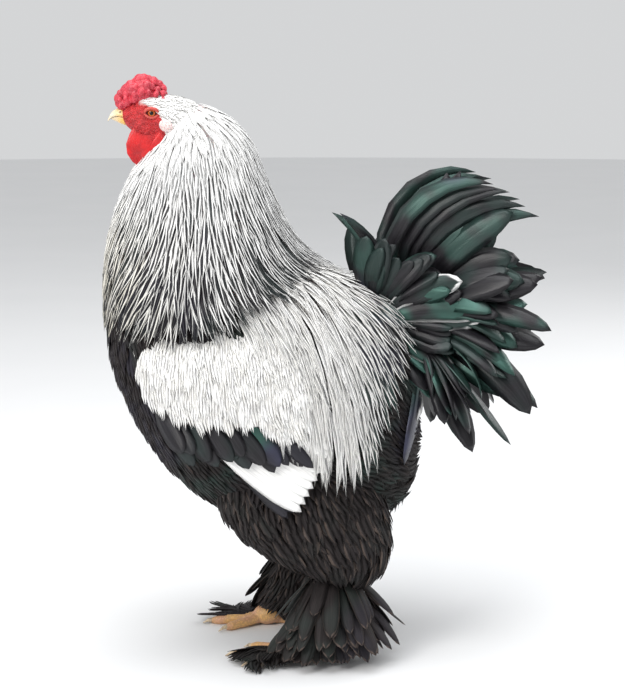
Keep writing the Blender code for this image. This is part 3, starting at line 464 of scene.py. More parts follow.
def feathers(
    name, centres, outs, half, shape, rows, marks, across=(-1, 0, 1), thick=0.0004, cup=0.12, roll=0.0,
    strips=WHOLE, fray=0.0,
):
    count, steps = centres.shape[:2]
    ahead = unit(np.gradient(centres, axis=1))
    side = unit(np.cross(ahead, outs))
    out = np.cross(side, ahead)
    turn = np.broadcast_to(np.asarray(roll, float).reshape(-1, 1, 1), (count, 1, 1))
    side, out = side * np.cos(turn) + out * np.sin(turn), out * np.cos(turn) - side * np.sin(turn)
    half = np.broadcast_to(np.asarray(half, float), count)[:, None, None]
    u = np.array([*across, 0.0])
    taper = np.interp(rows, (0, 0.72, 0.88, 1), (1, 1, 0.6, 0))[:, None]
    taper = np.ones_like(taper) if len(strips) == 1 else taper
    points, vane, roots = [], [], marks.pop("root")
    for low, high in strips:
        middle, wide = (low + high) / 2, (high - low) / 2
        reach = 1.0 - fray * rng.uniform(0.2, 1.0, count) * (1.0 if middle else 0.25)
        at = rows[None] * reach[:, None]
        now = [along(track, rows, at) for track in (centres, side, out)]
        width = np.interp(at, rows, shape)[..., None] * half
        apart = 1.0 + fray * 1.6 * np.clip(at - 0.55, 0, 1)[..., None]
        points.append(blade_points(*now, width * middle * apart, width * wide, taper, across, thick, cup))
        map_u = ((middle + u[None] * wide * taper[:-1]) + 1) / 2
        map_v = np.repeat(rows[:-1, None], len(u), 1) * reach.mean()
        tip = [[(middle + 1) / 2, reach.mean()]]
        vane.append(np.concatenate([np.stack([map_u, map_v], -1).reshape(-1, 2), tip]))
    each = points[0].shape[1]
    points = np.stack(points, 1).reshape(-1, 3)
    vane = np.concatenate(vane)
    blades = count * len(strips)
    corners, sizes = blade_faces(steps, len(u))
    all_corners = (corners[None] + each * np.arange(blades)[:, None]).ravel()
    obj = mesh_piece(name, points, all_corners, np.tile(sizes, blades))
    add_map(obj.data, "vane", np.tile(vane, (count, 1)), all_corners)
    spots = roots[:, None] + (vane[None] - 0.5) * BAKE_PATCH
    add_map(obj.data, "OFBake", spots.reshape(-1, 2), all_corners)
    for key, value in marks.items():
        layer = obj.data.attributes.new(key, "FLOAT", "POINT")
        spread = np.repeat(np.broadcast_to(value, count), each * len(strips))
        layer.data.foreach_set("value", spread.astype(np.float32))
    return obj


def dressed(obj, finish, slot, *nodes):
    wear(obj, finish)
    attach(obj, "root")
    if nodes:
        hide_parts(*nodes)
    faces = sum(len(p.vertices) - 2 for p in obj.data.polygons)
    print(f"{obj.name}: {faces} triangles")
    return obj


# %% [markdown]
# On the real bird the quills stand in even, slightly irregular rows. Darts thrown at the form
# give that: each new dart is kept only where no kept one stands closer than the gap.

# %% Where the feathers stand, and the way they lie
DARTS = 9


def scatter(form, side, reach_a, reach_b, gap, keep=None):
    step_a, step_b = (reach_a[1] - reach_a[0]) / 400, (reach_b[1] - reach_b[0]) / 400
    grid_a, grid_b = np.meshgrid(np.linspace(*reach_a, 30), np.linspace(*reach_b, 30))

    def area(a, b):
        along = form(a + step_a, b, side) - form(a - step_a, b, side)
        across = form(a, b + step_b, side) - form(a, b - step_b, side)
        return np.linalg.norm(np.cross(along, across), axis=-1) / (4 * step_a * step_b)

    gap_of = gap if callable(gap) else (lambda a, b: np.full(np.shape(a), gap))
    grid_a, grid_b = grid_a.ravel(), grid_b.ravel()
    density = area(grid_a, grid_b) / gap_of(grid_a, grid_b) ** 2
    pool = int(DARTS * density.max() * (reach_a[1] - reach_a[0]) * (reach_b[1] - reach_b[0]))
    a, b = rng.uniform(*reach_a, pool), rng.uniform(*reach_b, pool)
    chosen = rng.uniform(0, density.max(), pool) < area(a, b) / gap_of(a, b) ** 2
    if keep is not None:
        chosen &= keep(a, b)
    a, b = a[chosen], b[chosen]
    places, gaps = form(a, b, side), gap_of(a, b)
    cells, kept = {}, []
    for i, key in enumerate(map(tuple, np.floor(places / gaps.max()).astype(int))):
        near = [
            j
            for dx in (-1, 0, 1)
            for dy in (-1, 0, 1)
            for dz in (-1, 0, 1)
            for j in cells.get((key[0] + dx, key[1] + dy, key[2] + dz), ())
        ]
        if all(np.sum((places[i] - places[j]) ** 2) > gaps[i] ** 2 for j in near):
            cells.setdefault(key, []).append(i)
            kept.append(i)
    return a[kept], b[kept]


def walk(form, a, b, side, length, lean, rows):
    # From the tips back to the quills along the lie; lean turns it off the form's first direction
    a, b = np.array(a, float), np.array(b, float)
    track = [(a.copy(), b.copy())]
    for near, far in zip(rows[::-1][:-1], rows[::-1][1:]):
        step = length * (near - far)
        down = np.linalg.norm(form(a + 0.004, b, side) - form(a - 0.004, b, side), axis=-1) / 0.008
        wide = 0.6 if form in TURNED else 0.002
        across = np.linalg.norm(form(a, b + wide, side) - form(a, b - wide, side), axis=-1) / (2 * wide)
        turn = lean(a, b)
        a = a - np.cos(turn) * step / np.maximum(down, 1e-3)
        b = b - np.sin(turn) * step / np.maximum(across, 1e-5)
        track.append((a.copy(), b.copy()))
    track.reverse()
    return np.stack([t[0] for t in track], 1), np.stack([t[1] for t in track], 1)


TURNED = (cape, thigh, shank)


def stand(form, a, b, side, lifts, step=0.003):
    centres = form(a, b, side, lifts)
    return centres, unit(form(a, b, side, lifts + step) - centres)


def lay(form, a, b, side, length, lean, rows, lifts):
    way_a, way_b = walk(form, a, b, side, length, lean, rows)
    return *stand(form, way_a, way_b, side, lifts), way_a, way_b


def lift_from(low, high, rows):
    # Each feather starts low, under the others, and ends high, over them
    low, high = np.reshape(low, (-1, 1)), np.reshape(high, (-1, 1))
    return low + (high - low) * rows**0.8


def patch(a, b, reach_a, reach_b):
    # The root's place on the form laid flat
    share = [
        0.02 + 0.96 * np.clip((x - r[0]) / (r[1] - r[0]), 0, 1) for x, r in ((b, reach_b), (a, reach_a))
    ]
    return np.stack(share, 1)


def marked(count, root, stripe, gleam=0.0, warm=0.0):
    # What each feather carries: its root, the reach of its dark part, a tone, its gleam and warmth
    tone = rng.uniform(0, 1, count)
    return {"root": root, "stripe": stripe, "tone": tone, "gleam": gleam, "warm": warm}


def outline(keys, rows):
    return np.interp(rows, *zip(*keys))


LONG_ROWS = np.array([0.0, 0.16, 0.32, 0.48, 0.62, 0.75, 0.86, 0.94, 1.0])
SHORT_ROWS = np.array([0.0, 0.25, 0.5, 0.72, 0.9, 1.0])
LANCE = ((0, 0.34), (0.2, 0.70), (0.45, 1.0), (0.62, 0.98), (0.78, 0.72), (0.9, 0.38), (1, 0))
SOFT = ((0, 0.30), (0.25, 0.80), (0.5, 1.0), (0.75, 0.85), (0.9, 0.45), (1, 0))
ROUND = ((0, 0.32), (0.25, 0.82), (0.55, 1.0), (0.8, 0.92), (0.93, 0.55), (1, 0))
print("Rows of a long feather:", len(LONG_ROWS))

# %% [markdown]
# One finish serves the whole silver coat. A feather there is dark along its quill and white at
# its edge; only the width of the dark part changes, from none on the crown to nearly the whole
# vane in the tail. The barbs show as fine streaks in the bump; the streaks in the colour are
# painted shade, for the shadow in the gaps between the strands.

# %% The finish of a feather
BARBS = 70.0


def plumage(
    name, pale, dark, sheen, ends=(0.80, 1.03), gap_shade=0.30, rough=0.62, glossy=0.34, edge=0.16, shine=0.35,
):
    finish = Finish(name, Roughness=rough, Specular_IOR_Level=shine)
    u, v, _ = finish.split(finish.node("ShaderNodeUVMap", {"uv_map": "vane"}))
    tone, stripe = finish.attribute("tone"), finish.attribute("stripe")
    gleam, warm = finish.attribute("gleam"), finish.attribute("warm")
    off = abs(u - 0.5) * 2.0
    fibres_and_gap_shade = finish.noise(finish.join(u * 16.0 + tone * 31.0, v * 2.2 - off * 0.8, tone * 17.0), 1.0, 3.0)
    reach = stripe - v.rise(*ends)
    mask = (reach - off + (fibres_and_gap_shade - 0.5) * 0.35).rise(-edge, edge)
    barb = ((v * BARBS - off * 9.0 + tone * 6.0) * 6.2832).sine()
    shade = finish.mix(warm, pale, (pale[0] * 0.93, pale[1] * 0.87, pale[2] * 0.72))
    # painted shade: grey streaks along the strands, for the shadow in the gaps between them
    shade = finish.mix(fibres_and_gap_shade.rise(0.42, 0.66) * gap_shade, shade, tuple(c * 0.42 for c in pale))
    # painted sheen: green and violet patches are put into the colour by noise, where light would catch the
    # black vanes
    painted_sheen = gleam * finish.noise(finish.place(), 26.0, 1.0).rise(0.36, 0.60)
    sheen_hue = finish.mix(finish.noise(finish.place(), 9.0, 0.0).rise(0.50, 0.62), sheen[0], sheen[1])
    deep = finish.mix(fibres_and_gap_shade.rise(0.35, 0.75) * 0.6, dark, tuple(min(c * 2.6 + 0.004, 1) for c in dark))
    deep = finish.mix(painted_sheen, deep, sheen_hue)
    finish.set("Base Color", finish.mix(mask, shade, deep))
    finish.set("Roughness", rough + mask * (glossy - rough))
    finish.set("Metallic", mask * painted_sheen * 0.75)
    finish.bump(fibres_and_gap_shade * 0.7 + barb * 0.15, 0.35, 0.0006)
    return finish


WHITE, BLACK = (0.93, 0.925, 0.915), (0.009, 0.008, 0.010)
SHEEN_GREEN, SHEEN_VIOLET = (0.050, 0.115, 0.095), (0.060, 0.062, 0.100)
silver = plumage("silver_feathers", WHITE, BLACK, (SHEEN_GREEN, SHEEN_VIOLET))
plume_black = plumage(
    "black_feathers", (0.86, 0.85, 0.82), BLACK, (SHEEN_GREEN, SHEEN_VIOLET), (0.90, 1.0), glossy=0.30, edge=0.05
)
BROWN_EDGE = (0.11, 0.085, 0.076)
soft_dark = plumage(
    "dark_body_feathers", BROWN_EDGE, (0.014, 0.011, 0.011), (SHEEN_GREEN, SHEEN_VIOLET), (0.86, 1.02), 0.5, 0.75, 0.6,
    shine=0.2,
)
print("Feather finishes ready")

# %% [markdown]
# The cape is the cockerel's hackle: hundreds of narrow, pointed feathers that hang from the neck
# like thatch. They are white with a dark stripe along the quill, hardly there on the nape and
# broad at the hem. Each is laid back from its tip, so that the hem falls where it should.

# %% The cape
for name, side in SIDES:
    reach_a, reach_b = (0.03, 1.03), (-4.0, 184.0)

    def cape_gap(a, b):
        return np.interp(a, (0, 0.4, 0.8, 1), (0.0056, 0.0076, 0.0092, 0.0086))

    v, turn = scatter(cape, side, reach_a, reach_b, cape_gap)
    count = len(v)
    sway = rng.normal(0, 5.0, count)
    length = np.interp(v, (0, 0.3, 0.6, 1), (0.022, 0.042, 0.068, 0.086)) * rng.uniform(0.88, 1.1, count)
    width = np.interp(v, (0, 0.3, 0.6, 1), (0.0044, 0.0054, 0.0070, 0.0084)) * rng.uniform(0.85, 1.15, count)

    def lean(a, b, sway=sway):
        sweep = -34.0 * np.exp(-(((b - 48.0) / 38.0) ** 2)) * np.clip((a - 0.40) / 0.4, 0, 1)
        return np.radians(sweep + sway)

    low = -np.interp(v, (0, 0.3, 1), (0.0015, 0.004, 0.0065))
    lifts = lift_from(low, rng.uniform(-0.0004, 0.0012, count), LONG_ROWS)
    centres, outs, way_v, way_turn = lay(cape, v, turn, side, length, lean, LONG_ROWS, lifts)
    stripe = np.interp(v, (0, 0.20, 0.36, 0.6, 0.82, 1), (-0.9, -0.4, 0.12, 0.34, 0.58, 0.74))
    marks = marked(
        count, patch(way_v[:, 0], way_turn[:, 0], reach_a, reach_b),
        stripe * rng.uniform(0.6, 1.25, count), 0.12,
    )
    creamy = np.clip((v - 0.45) / 0.4, 0, 1) * np.exp(-((turn / 62.0) ** 2))
    marks["warm"] = creamy * rng.uniform(0.4, 1, count)
    coat = feathers(
        "cape_" + name, centres, outs, width / 2, outline(LANCE, LONG_ROWS), LONG_ROWS, marks,
        roll=rng.normal(0.10, 0.12, count), strips=SPLIT, fray=0.10,
    )
    dressed(coat, silver, "cape_feathers", "neck")

# %% [markdown]
# The saddle is made in the same way, on the flank. Its feathers are longer and narrower still,
# and they swing: backwards from the ridge, plumb down the flank, a little forwards at the hem.

# %% The saddle
HEM_X = (-0.060, -0.020, 0.010, 0.030, 0.050, 0.080, 0.100, 0.118)
HEM_Z = (0.300, 0.245, 0.215, 0.199, 0.197, 0.222, 0.275, 0.345)
for name, side in SIDES:
    reach_a, reach_b = (0.06, 2.6), (-0.052, 0.118)

    def on_saddle(q, x, side=side):
        z = flank(q, x, side)[..., 2]
        return (z > np.interp(x, HEM_X, HEM_Z)) & (x > -0.058 + (0.43 - z) * 0.20)

    q, x = scatter(flank, side, reach_a, reach_b, 0.0078, on_saddle)
    count = len(q)
    sway = rng.normal(0, 4.0, count)
    length = np.interp(q, (0, 0.5, 1, 2), (0.045, 0.070, 0.092, 0.112)) * rng.uniform(0.85, 1.1, count)
    width = np.interp(q, (0, 1, 2), (0.0068, 0.0072, 0.0074)) * rng.uniform(0.85, 1.15, count)
    width *= 1 + 0.5 * np.clip((x - 0.06) / 0.04, 0, 1)

    def swing(a, b, sway=sway):
        plumb = np.interp(a, (0, 0.4, 0.9, 1.5, 2.4), (58.0, 36.0, 15.0, 2.0, -15.0))
        return np.radians(plumb + 160.0 * np.clip(b - 0.05, 0, 0.07) / 0.7 + sway)

    high = np.interp(q, (0, 0.5, 1.2, 2.3), (0.0120, 0.0150, 0.0115, 0.0085)) + rng.normal(0, 0.0005, count)
    lifts = lift_from(-0.002, high, LONG_ROWS)
    centres, outs, way_q, way_x = lay(flank, q, x, side, length, swing, LONG_ROWS, lifts)
    rear = np.clip((x - 0.062) / 0.035, 0, 1)
    marks = marked(
        count, patch(way_q[:, 0], way_x[:, 0], reach_a, reach_b),
        0.10 + 0.52 * rear + rng.normal(0, 0.06, count), 0.1 + 0.5 * rear,
    )
    marks["warm"] = 0.15 * rng.uniform(0, 1, count)
    coat = feathers(
        "saddle_" + name, centres, outs, width / 2, outline(LANCE, LONG_ROWS), LONG_ROWS, marks,
        roll=rng.normal(0.12, 0.10, count), strips=SPLIT, fray=0.12,
    )
    dressed(coat, silver, "saddle_feathers", "saddle")

# %% [markdown]
# The folded wing shows three things: the bow, a soft white cushion with a ragged lower edge, the
# bar of green-black coverts under it, and the wing bay, a white wedge of broad stiff feathers
# that ends in a point over the thigh.

# %% The wings
WING_PAD = (
    (-0.173, 0.320, 0.335, 0.003),
    (-0.166, 0.300, 0.352, 0.008),
    (-0.150, 0.283, 0.363, 0.012),
    (-0.120, 0.272, 0.366, 0.0135),
    (-0.085, 0.264, 0.370, 0.0135),
    (-0.050, 0.256, 0.376, 0.012),
    (-0.020, 0.244, 0.378, 0.011),
    (0.004, 0.235, 0.366, 0.010),
    (0.020, 0.240, 0.330, 0.006),
)
BOW_EDGE_X = (-0.175, -0.168, -0.158, -0.142, -0.105, -0.052, -0.030, 0.010)
BOW_EDGE_Z = (0.340, 0.325, 0.302, 0.283, 0.270, 0.272, 0.262, 0.250)


def pad_height(x, z):
    keys, *rows = zip(*WING_PAD)
    low, high, thick = (curve(keys, row, x) for row in rows)
    off = np.clip((z - (low + high) / 2) / ((high - low) / 2), -0.72, 1.0)
    return thick * np.sqrt(1 - off**2)


def wing_row(name, side, near, far, lift_near, lift_far, width, marks):
    # Stiff feathers laid straight from root to tip, each given by its place along X and its height
    share = LONG_ROWS[None, :]
    x = near[:, :1] + (far[:, :1] - near[:, :1]) * share
    z = near[:, 1:] + (far[:, 1:] - near[:, 1:]) * share
    q = q_at(x, z)
    lifts = lift_near[:, None] + (lift_far - lift_near)[:, None] * share
    centres, outs = stand(flank, q, x, side, lifts)
    root = patch(q[:, 0], x[:, 0], (0.0, 2.4), (-0.18, 0.06))
    return feathers(
        name, centres, outs, width / 2, outline(ROUND, LONG_ROWS), LONG_ROWS, {"root": root, **marks},
        across=BROAD, thick=0.0008, cup=0.07,
    )


for name, side in SIDES:
    reach_a, reach_b = (0.25, 2.2), (-0.176, 0.012)

    def on_bow(q, x, side=side):
        z = flank(q, x, side)[..., 2]
        return (z > np.interp(x, BOW_EDGE_X, BOW_EDGE_Z) + rng.uniform(-0.004, 0.004, len(x))) & (z < 0.395)

    q, x = scatter(flank, side, reach_a, reach_b, 0.0054, on_bow)
    count = len(q)
    sway = rng.normal(0, 7.0, count)
    length = rng.uniform(0.026, 0.046, count)

    def drift(a, b, sway=sway):
        return np.radians(10.0 + 60.0 * np.clip(b + 0.05, -0.05, 0.06) + sway)

    way_q, way_x = walk(flank, q, x, side, length, drift, SHORT_ROWS)
    z = flank(way_q, way_x, side)[..., 2]
    lifts = pad_height(way_x, z) + lift_from(-0.002, rng.uniform(0.0005, 0.0025, count), SHORT_ROWS)
    centres, outs = stand(flank, way_q, way_x, side, lifts)
    marks = marked(count, patch(way_q[:, 0], way_x[:, 0], reach_a, reach_b), -1.0)
    marks["warm"] = 0.22 * rng.uniform(0, 1, count)
    bow = feathers(
        "wing_bow_" + name, centres, outs, rng.uniform(0.0042, 0.0058, count), outline(SOFT, SHORT_ROWS),
        SHORT_ROWS, marks, roll=rng.normal(0.05, 0.10, count), strips=SPLIT, fray=0.2,
    )
    dressed(bow, silver, "wing_feathers", "wing_" + name)

    k = np.arange(9.0)
    near = np.stack([-0.092 + 0.0095 * k, 0.262 + 0.0030 * k], 1)
    far = np.stack([0.0020 + 0.0040 * k, 0.187 + 0.0086 * k], 1)
    marks = {"stripe": -1.0, "tone": rng.uniform(0, 1, 9), "gleam": 0.0, "warm": 0.05}
    bay = wing_row(
        "wing_bay_" + name, side, near, far,
        0.001 + 0.0003 * k, 0.0030 + 0.0005 * k, np.full(9, 0.022), marks,
    )
    dressed(bay, silver, "wing_feathers")

    k = np.arange(16.0)
    column_, row_ = k % 8, k // 8
    near = np.stack([-0.150 + 0.0150 * column_ + 0.007 * row_, 0.296 - 0.0035 * row_ + 0 * k], 1)
    far = np.stack([-0.118 + 0.0165 * column_ + 0.006 * row_, 0.249 - 0.0012 * column_ - 0.006 * row_], 1)
    marks = {"stripe": 2.2, "tone": rng.uniform(0, 1, 16), "warm": 0.0}
    # one covert of the bar gets full painted sheen
    marks["gleam"] = np.where(k == 6, 1.0, rng.uniform(0, 0.5, 16) ** 2)
    near, far = near + rng.normal(0, 0.003, (16, 2)), far + rng.normal(0, 0.0045, (16, 2))
    bar = wing_row(
        "wing_bar_" + name, side, near, far,
        0.003 + 0 * k, 0.0125 - 0.003 * row_, rng.uniform(0.016, 0.026, 16), marks,
    )
    dressed(bar, plume_black, "wing_feathers")

    k = np.arange(5.0)
    near = np.stack([-0.080 + 0.010 * k, 0.258 + 0 * k], 1)
    far = np.stack([-0.012 + 0.005 * k, 0.180 + 0.006 * k], 1)
    marks = {"stripe": 2.2, "tone": rng.uniform(0, 1, 5), "gleam": 0.1, "warm": 0.0}
    tips = wing_row(
        "primaries_" + name, side, near, far,
        -0.001 + 0 * k, 0.0015 + 0.0004 * k, np.full(5, 0.018), marks,
    )
    dressed(tips, plume_black, "wing_feathers")

# %% [markdown]
# Breast, belly and rump carry small rounded feathers, black-brown with a hint of painted green sheen on the
# breast. They overlap like shingles and run down and back.

# %% The body coat


def body_coat(
    name, form, side, reach_a, reach_b, gap, length, width, lean_of, high, slot, nodes, gleam, stripe,
):
    a, b = scatter(form, side, reach_a, reach_b, gap)
    count = len(a)
    sway = rng.normal(0, 9.0, count)
    lengths = length * rng.uniform(0.8, 1.15, count)

    def lean(a, b):
        return np.radians(lean_of(a, b) + sway)

    lifts = lift_from(-0.002, high * rng.uniform(0.55, 1.1, count), SHORT_ROWS)
    centres, outs, way_a, way_b = lay(form, a, b, side, lengths, lean, SHORT_ROWS, lifts)
    marks = {
        "root": patch(way_a[:, 0], way_b[:, 0], reach_a, reach_b),
        "stripe": stripe + rng.normal(0, 0.06, count),
        "tone": rng.uniform(0, 1, count),
        "gleam": gleam * rng.uniform(0, 1, count),
        "warm": rng.uniform(0, 0.5, count),
    }
    coat = feathers(
        name, centres, outs, width / 2 * rng.uniform(0.85, 1.15, count), outline(ROUND, SHORT_ROWS),
        SHORT_ROWS, marks, cup=0.12, roll=rng.normal(0.05, 0.12, count), strips=SPLIT, fray=0.16,
    )
    dressed(coat, soft_dark, slot, *nodes)


def down_and_back(q, x):
    return np.interp(q, (0.6, 1.0, 1.5, 1.95), (30.0, 42.0, 64.0, 88.0))


for name, side in SIDES:
    body_coat(
        "body_coat_" + name, girdle, side, (0.60, 1.97), (-0.2120, 0.1340), 0.0100, 0.034, 0.017,
        down_and_back, 0.0045, "body_feathers", ("torso",), gleam=0.3, stripe=1.0,
    )
    for part, form, reach, gap, length, width, swing, high, stripe in (
        ("thigh_", thigh, (0.10, 1.0), 0.0095, 0.040, 0.021, 10.0, 0.007, 0.85),
        ("shank_", shank, (0.05, 0.92), 0.0075, 0.034, 0.015, 8.0, 0.006, 0.86),
    ):
        body_coat(
            part + "coat_" + name, form, side, reach, (-180.0, 180.0), gap, length, width,
            lambda w, turn, swing=swing: swing * np.sin(np.radians(turn)), high, "leg_feathers",
            (part + name,), gleam=0.05, stripe=stripe,
        )

# %% [markdown]
# Boots and tail feathers stand free of the body. Each starts at its root in a given direction and
# bends steadily towards the ground, and its path is added up in small steps.

# %% Free feathers
BEND_EASE = 1.25


def spray(roots, ways, outs, length, bend, rows):
    sag = np.array([0.0, 0.0, -1.0]) - ways * -ways[:, 2:3]
    sag = unit(sag)
    places, steps = [roots.copy()], 6
    here, fine = roots.copy(), []
    for near, far in zip(rows[:-1], rows[1:]):
        for k in range(steps):
            t = near + (far - near) * (k + 0.5) / steps
            turn = np.radians(bend)[:, None] * t**BEND_EASE
            ahead = ways * np.cos(turn) + sag * np.sin(turn)
            here = here + ahead * (length * (far - near) / steps)[:, None]
        places.append(here.copy())
    centres = np.stack(places, 1)
    return centres, np.broadcast_to(outs[:, None], centres.shape)


def fanned(heading, fall, side):
    # Directions of feathers and of their upper faces, by heading from the front and fall, both in radians
    c, s = np.cos(fall), np.sin(fall)
    ahead, aside = -np.cos(heading), side * np.sin(heading)
    return np.stack([ahead * c, aside * c, -s], 1), np.stack([ahead * s, aside * s, c], 1)


def boot(name, side):
    # Long feathers down the outer side and the back of the shank
    count = 190
    w = rng.uniform(0.02, 0.86, count)
    turn = rng.uniform(16.0, 200.0, count)
    roots = shank(w, turn, side, np.full(count, -0.003))
    heading, fall = np.radians(turn), np.radians(rng.uniform(34, 62, count))
    ways, outs = fanned(heading, fall, side)
    length = np.interp(w, (0.1, 0.9), (0.082, 0.066)) * rng.uniform(0.7, 1.0, count)
    reach = np.clip((roots[:, 2] - 0.004) / np.sin(fall + 0.30), 0.02, 0.08)
    centres, outs = spray(roots, ways, outs, np.minimum(length, reach), rng.uniform(8, 26, count), LONG_ROWS)
    marks = marked(count, patch(w, turn, (0, 1), (0, 210)), rng.uniform(0.86, 1.1, count), 0.12, 0.2)
    return feathers(
        name, centres, outs, rng.uniform(0.006, 0.0105, count), outline(ROUND, LONG_ROWS), LONG_ROWS, marks,
        across=BROAD, thick=0.0007, cup=0.2, roll=rng.normal(0, 0.2, count),
    )


for name, side in SIDES:
    dressed(boot("boot_" + name, side), soft_dark, "leg_feathers")

# %% [markdown]
# The tail of a brahma is short and full: curved black feathers in tiers round a stump, broad ones
# inside, covers over them, and a few sickles that arch over the top. Green and violet show
# where the light strikes the vane.

# %% The tail
TAIL_ROOT, TAIL_CORE = (0.116, 0.0, 0.376), (0.046, 0.036, 0.052)
LOWEST_PERCH, PERCH_DEPTH, TAIL_LAG = -38.0, 0.55, 4.0


def tail_tract(name, side, angle, yaw, length, bend, width, out_from, lean, fore, marks, keys):
    angle, yaw, bend, lean = (np.radians(v) for v in (angle, yaw, bend, lean))
    perch = np.maximum(angle, math.radians(LOWEST_PERCH))
    here = np.stack(
        [
            TAIL_ROOT[0] + SHIFT + PERCH_DEPTH * TAIL_CORE[0] * np.cos(perch) - fore,
            side * (out_from + 0 * perch),
            TAIL_ROOT[2] + PERCH_DEPTH * TAIL_CORE[2] * np.sin(perch),
        ],
        1,
    )
    centres, outs, steps = [], [], 5
    for i, share in enumerate(LONG_ROWS):
        before = LONG_ROWS[i - 1] if i else 0.0
        for k in range(steps):
            t = before + (share - before) * (k + 0.5) / steps
            now, spread = angle - bend * t**BEND_EASE, yaw * (1 - 0.6 * t)
            level = np.cos(spread)
            ahead = np.stack([np.cos(now) * level, side * np.sin(spread), np.sin(now) * level], 1)
            here = here + ahead * (length * (share - before) / steps)[:, None]
        above = np.stack([-np.sin(now), 0 * now, np.cos(now)], 1)
        centres.append(here.copy())
        outs.append(np.array([0, side, 0]) * np.cos(lean)[:, None] + above * np.sin(lean)[:, None])
    centres, outs = np.stack(centres, 1), np.stack(outs, 1)
    root = patch(angle, yaw, (-1.7, 1.9), (0, 1.4))
    return feathers(
        name, centres, outs, width / 2, outline(keys, LONG_ROWS), LONG_ROWS, {"root": root, **marks},
        across=BROAD, thick=0.0008, cup=0.16, roll=rng.normal(0, 0.28, len(angle)),
    )


# First angle, last angle, count, yaw, its spread, length, bend, width, distance out, lean
TAIL_TIERS = (
    (88.0, 2.0, 9, 3.0, 8.0, 0.146, 16.0, 0.036, 0.004, 14.0),
    (66.0, -80.0, 14, 22.0, 12.0, 0.150, 36.0, 0.034, 0.012, 26.0),
    (46.0, -72.0, 14, 34.0, 10.0, 0.128, 42.0, 0.030, 0.019, 34.0),
    (30.0, -70.0, 12, 44.0, 10.0, 0.108, 44.0, 0.026, 0.024, 42.0),
    (100.0, -84.0, 22, 26.0, 6.0, 0.084, 30.0, 0.026, 0.030, 26.0),
    (96.0, -88.0, 22, 20.0, 6.0, 0.070, 26.0, 0.024, 0.034, 20.0),
)
# The sickles: angle, yaw, length, bend, width, how far forward they root
SICKLES = (
    (101.0, 13.0, 0.205, 118.0, 0.022, 0.012),
    (94.0, 14.0, 0.196, 108.0, 0.020, 0.008),
    (88.0, 15.5, 0.190, 96.0, 0.022, 0.006),
    (80.0, 17.0, 0.186, 92.0, 0.021, 0.003),
    (72.0, 18.0, 0.184, 84.0, 0.022, 0.0),
    (102.0, 13.0, 0.114, -44.0, 0.015, 0.010),
)
SICKLE = ((0, 0.45), (0.18, 0.75), (0.40, 1.0), (0.62, 1.0), (0.84, 0.66), (1, 0))
for name, side in SIDES:
    lag = 0.0 if side < 0 else TAIL_LAG
    columns = []
    for first, last, count, yaw, spread, length, bend, width, out_from, lean in TAIL_TIERS:
        fore = 0.034 if length < 0.09 else 0.0
        k = np.linspace(0, 1, count)
        columns.append(
            np.stack(
                [
                    first + (last - first) * k + lag + rng.normal(0, 6.0, count),
                    yaw + spread * k + rng.normal(0, 5.0, count),
                    length * rng.uniform(0.72, 1.04, count),
                    bend * (1 - 0.6 * k) + rng.normal(6.0, 16.0, count),
                    width * rng.uniform(0.7, 1.15, count),
                    out_from + 0.008 * k,
                    lean + 14.0 * k + rng.normal(0, 7.0, count),
                    fore + 0 * k,
                ],
                1,
            )
        )
    rows = np.concatenate(columns)
    count = len(rows)
    marks = {
        "stripe": 2.2,
        "tone": rng.uniform(0, 1, count),
        "gleam": rng.uniform(0, 1, count) ** 2.2,
        "warm": 0.0,
    }
    fan = tail_tract("tail_fan_" + name, side, *rows.T, marks, ROUND)
    dressed(fan, plume_black, "tail_feathers", "tail")
    rows = np.array([(a + lag, y, l, b, w, 0.012, 18.0, f) for a, y, l, b, w, f in SICKLES])
    count = len(rows)
    marks = {"stripe": 2.2, "tone": rng.uniform(0, 1, count), "warm": 0.0}
    marks["gleam"] = rng.uniform(0.1, 0.6, count)
    dressed(tail_tract("sickles_" + name, side, *rows.T, marks, SICKLE), plume_black, "tail_feathers")
    # Broad coverts over the root of the tail: dark with painted green sheen and a white lace, darker towards
    # the vent
    angle = np.array([34.0, 20.0, 8.0, -6.0, -18.0, -32.0, -46.0, -58.0, -68.0, -78.0, -50.0, -66.0])
    count = len(angle)
    rows = np.stack(
        [
            angle + rng.normal(0, 3, count),
            rng.uniform(10, 22, count),
            rng.uniform(0.080, 0.104, count),
            rng.normal(22, 8, count),
            rng.uniform(0.022, 0.030, count),
            rng.uniform(0.036, 0.046, count),
            rng.uniform(2, 24, count),
            np.linspace(0.040, 0.062, count),
        ],
        1,
    )
    marks = {
        "stripe": np.linspace(0.86, 0.98, count),
        "tone": rng.uniform(0, 1, count),
        "gleam": np.where(np.arange(count) % 3 == 1, 0.9, 0.3),
        "warm": 0.0,
    }
    dressed(tail_tract("laced_coverts_" + name, side, *rows.T, marks, ROUND), silver, "tail_feathers")

# %% [markdown]
# Under the coat lies one skin, from the beak to the hocks. It starts as round balls, one for the
# trunk, neck, head, each wing, thigh and shank and the stump of the tail. Every point of a ball is
# moved onto its form, a little under the feathers, and a voxel remesh melts the balls into one.

# %% Balls moved onto a form


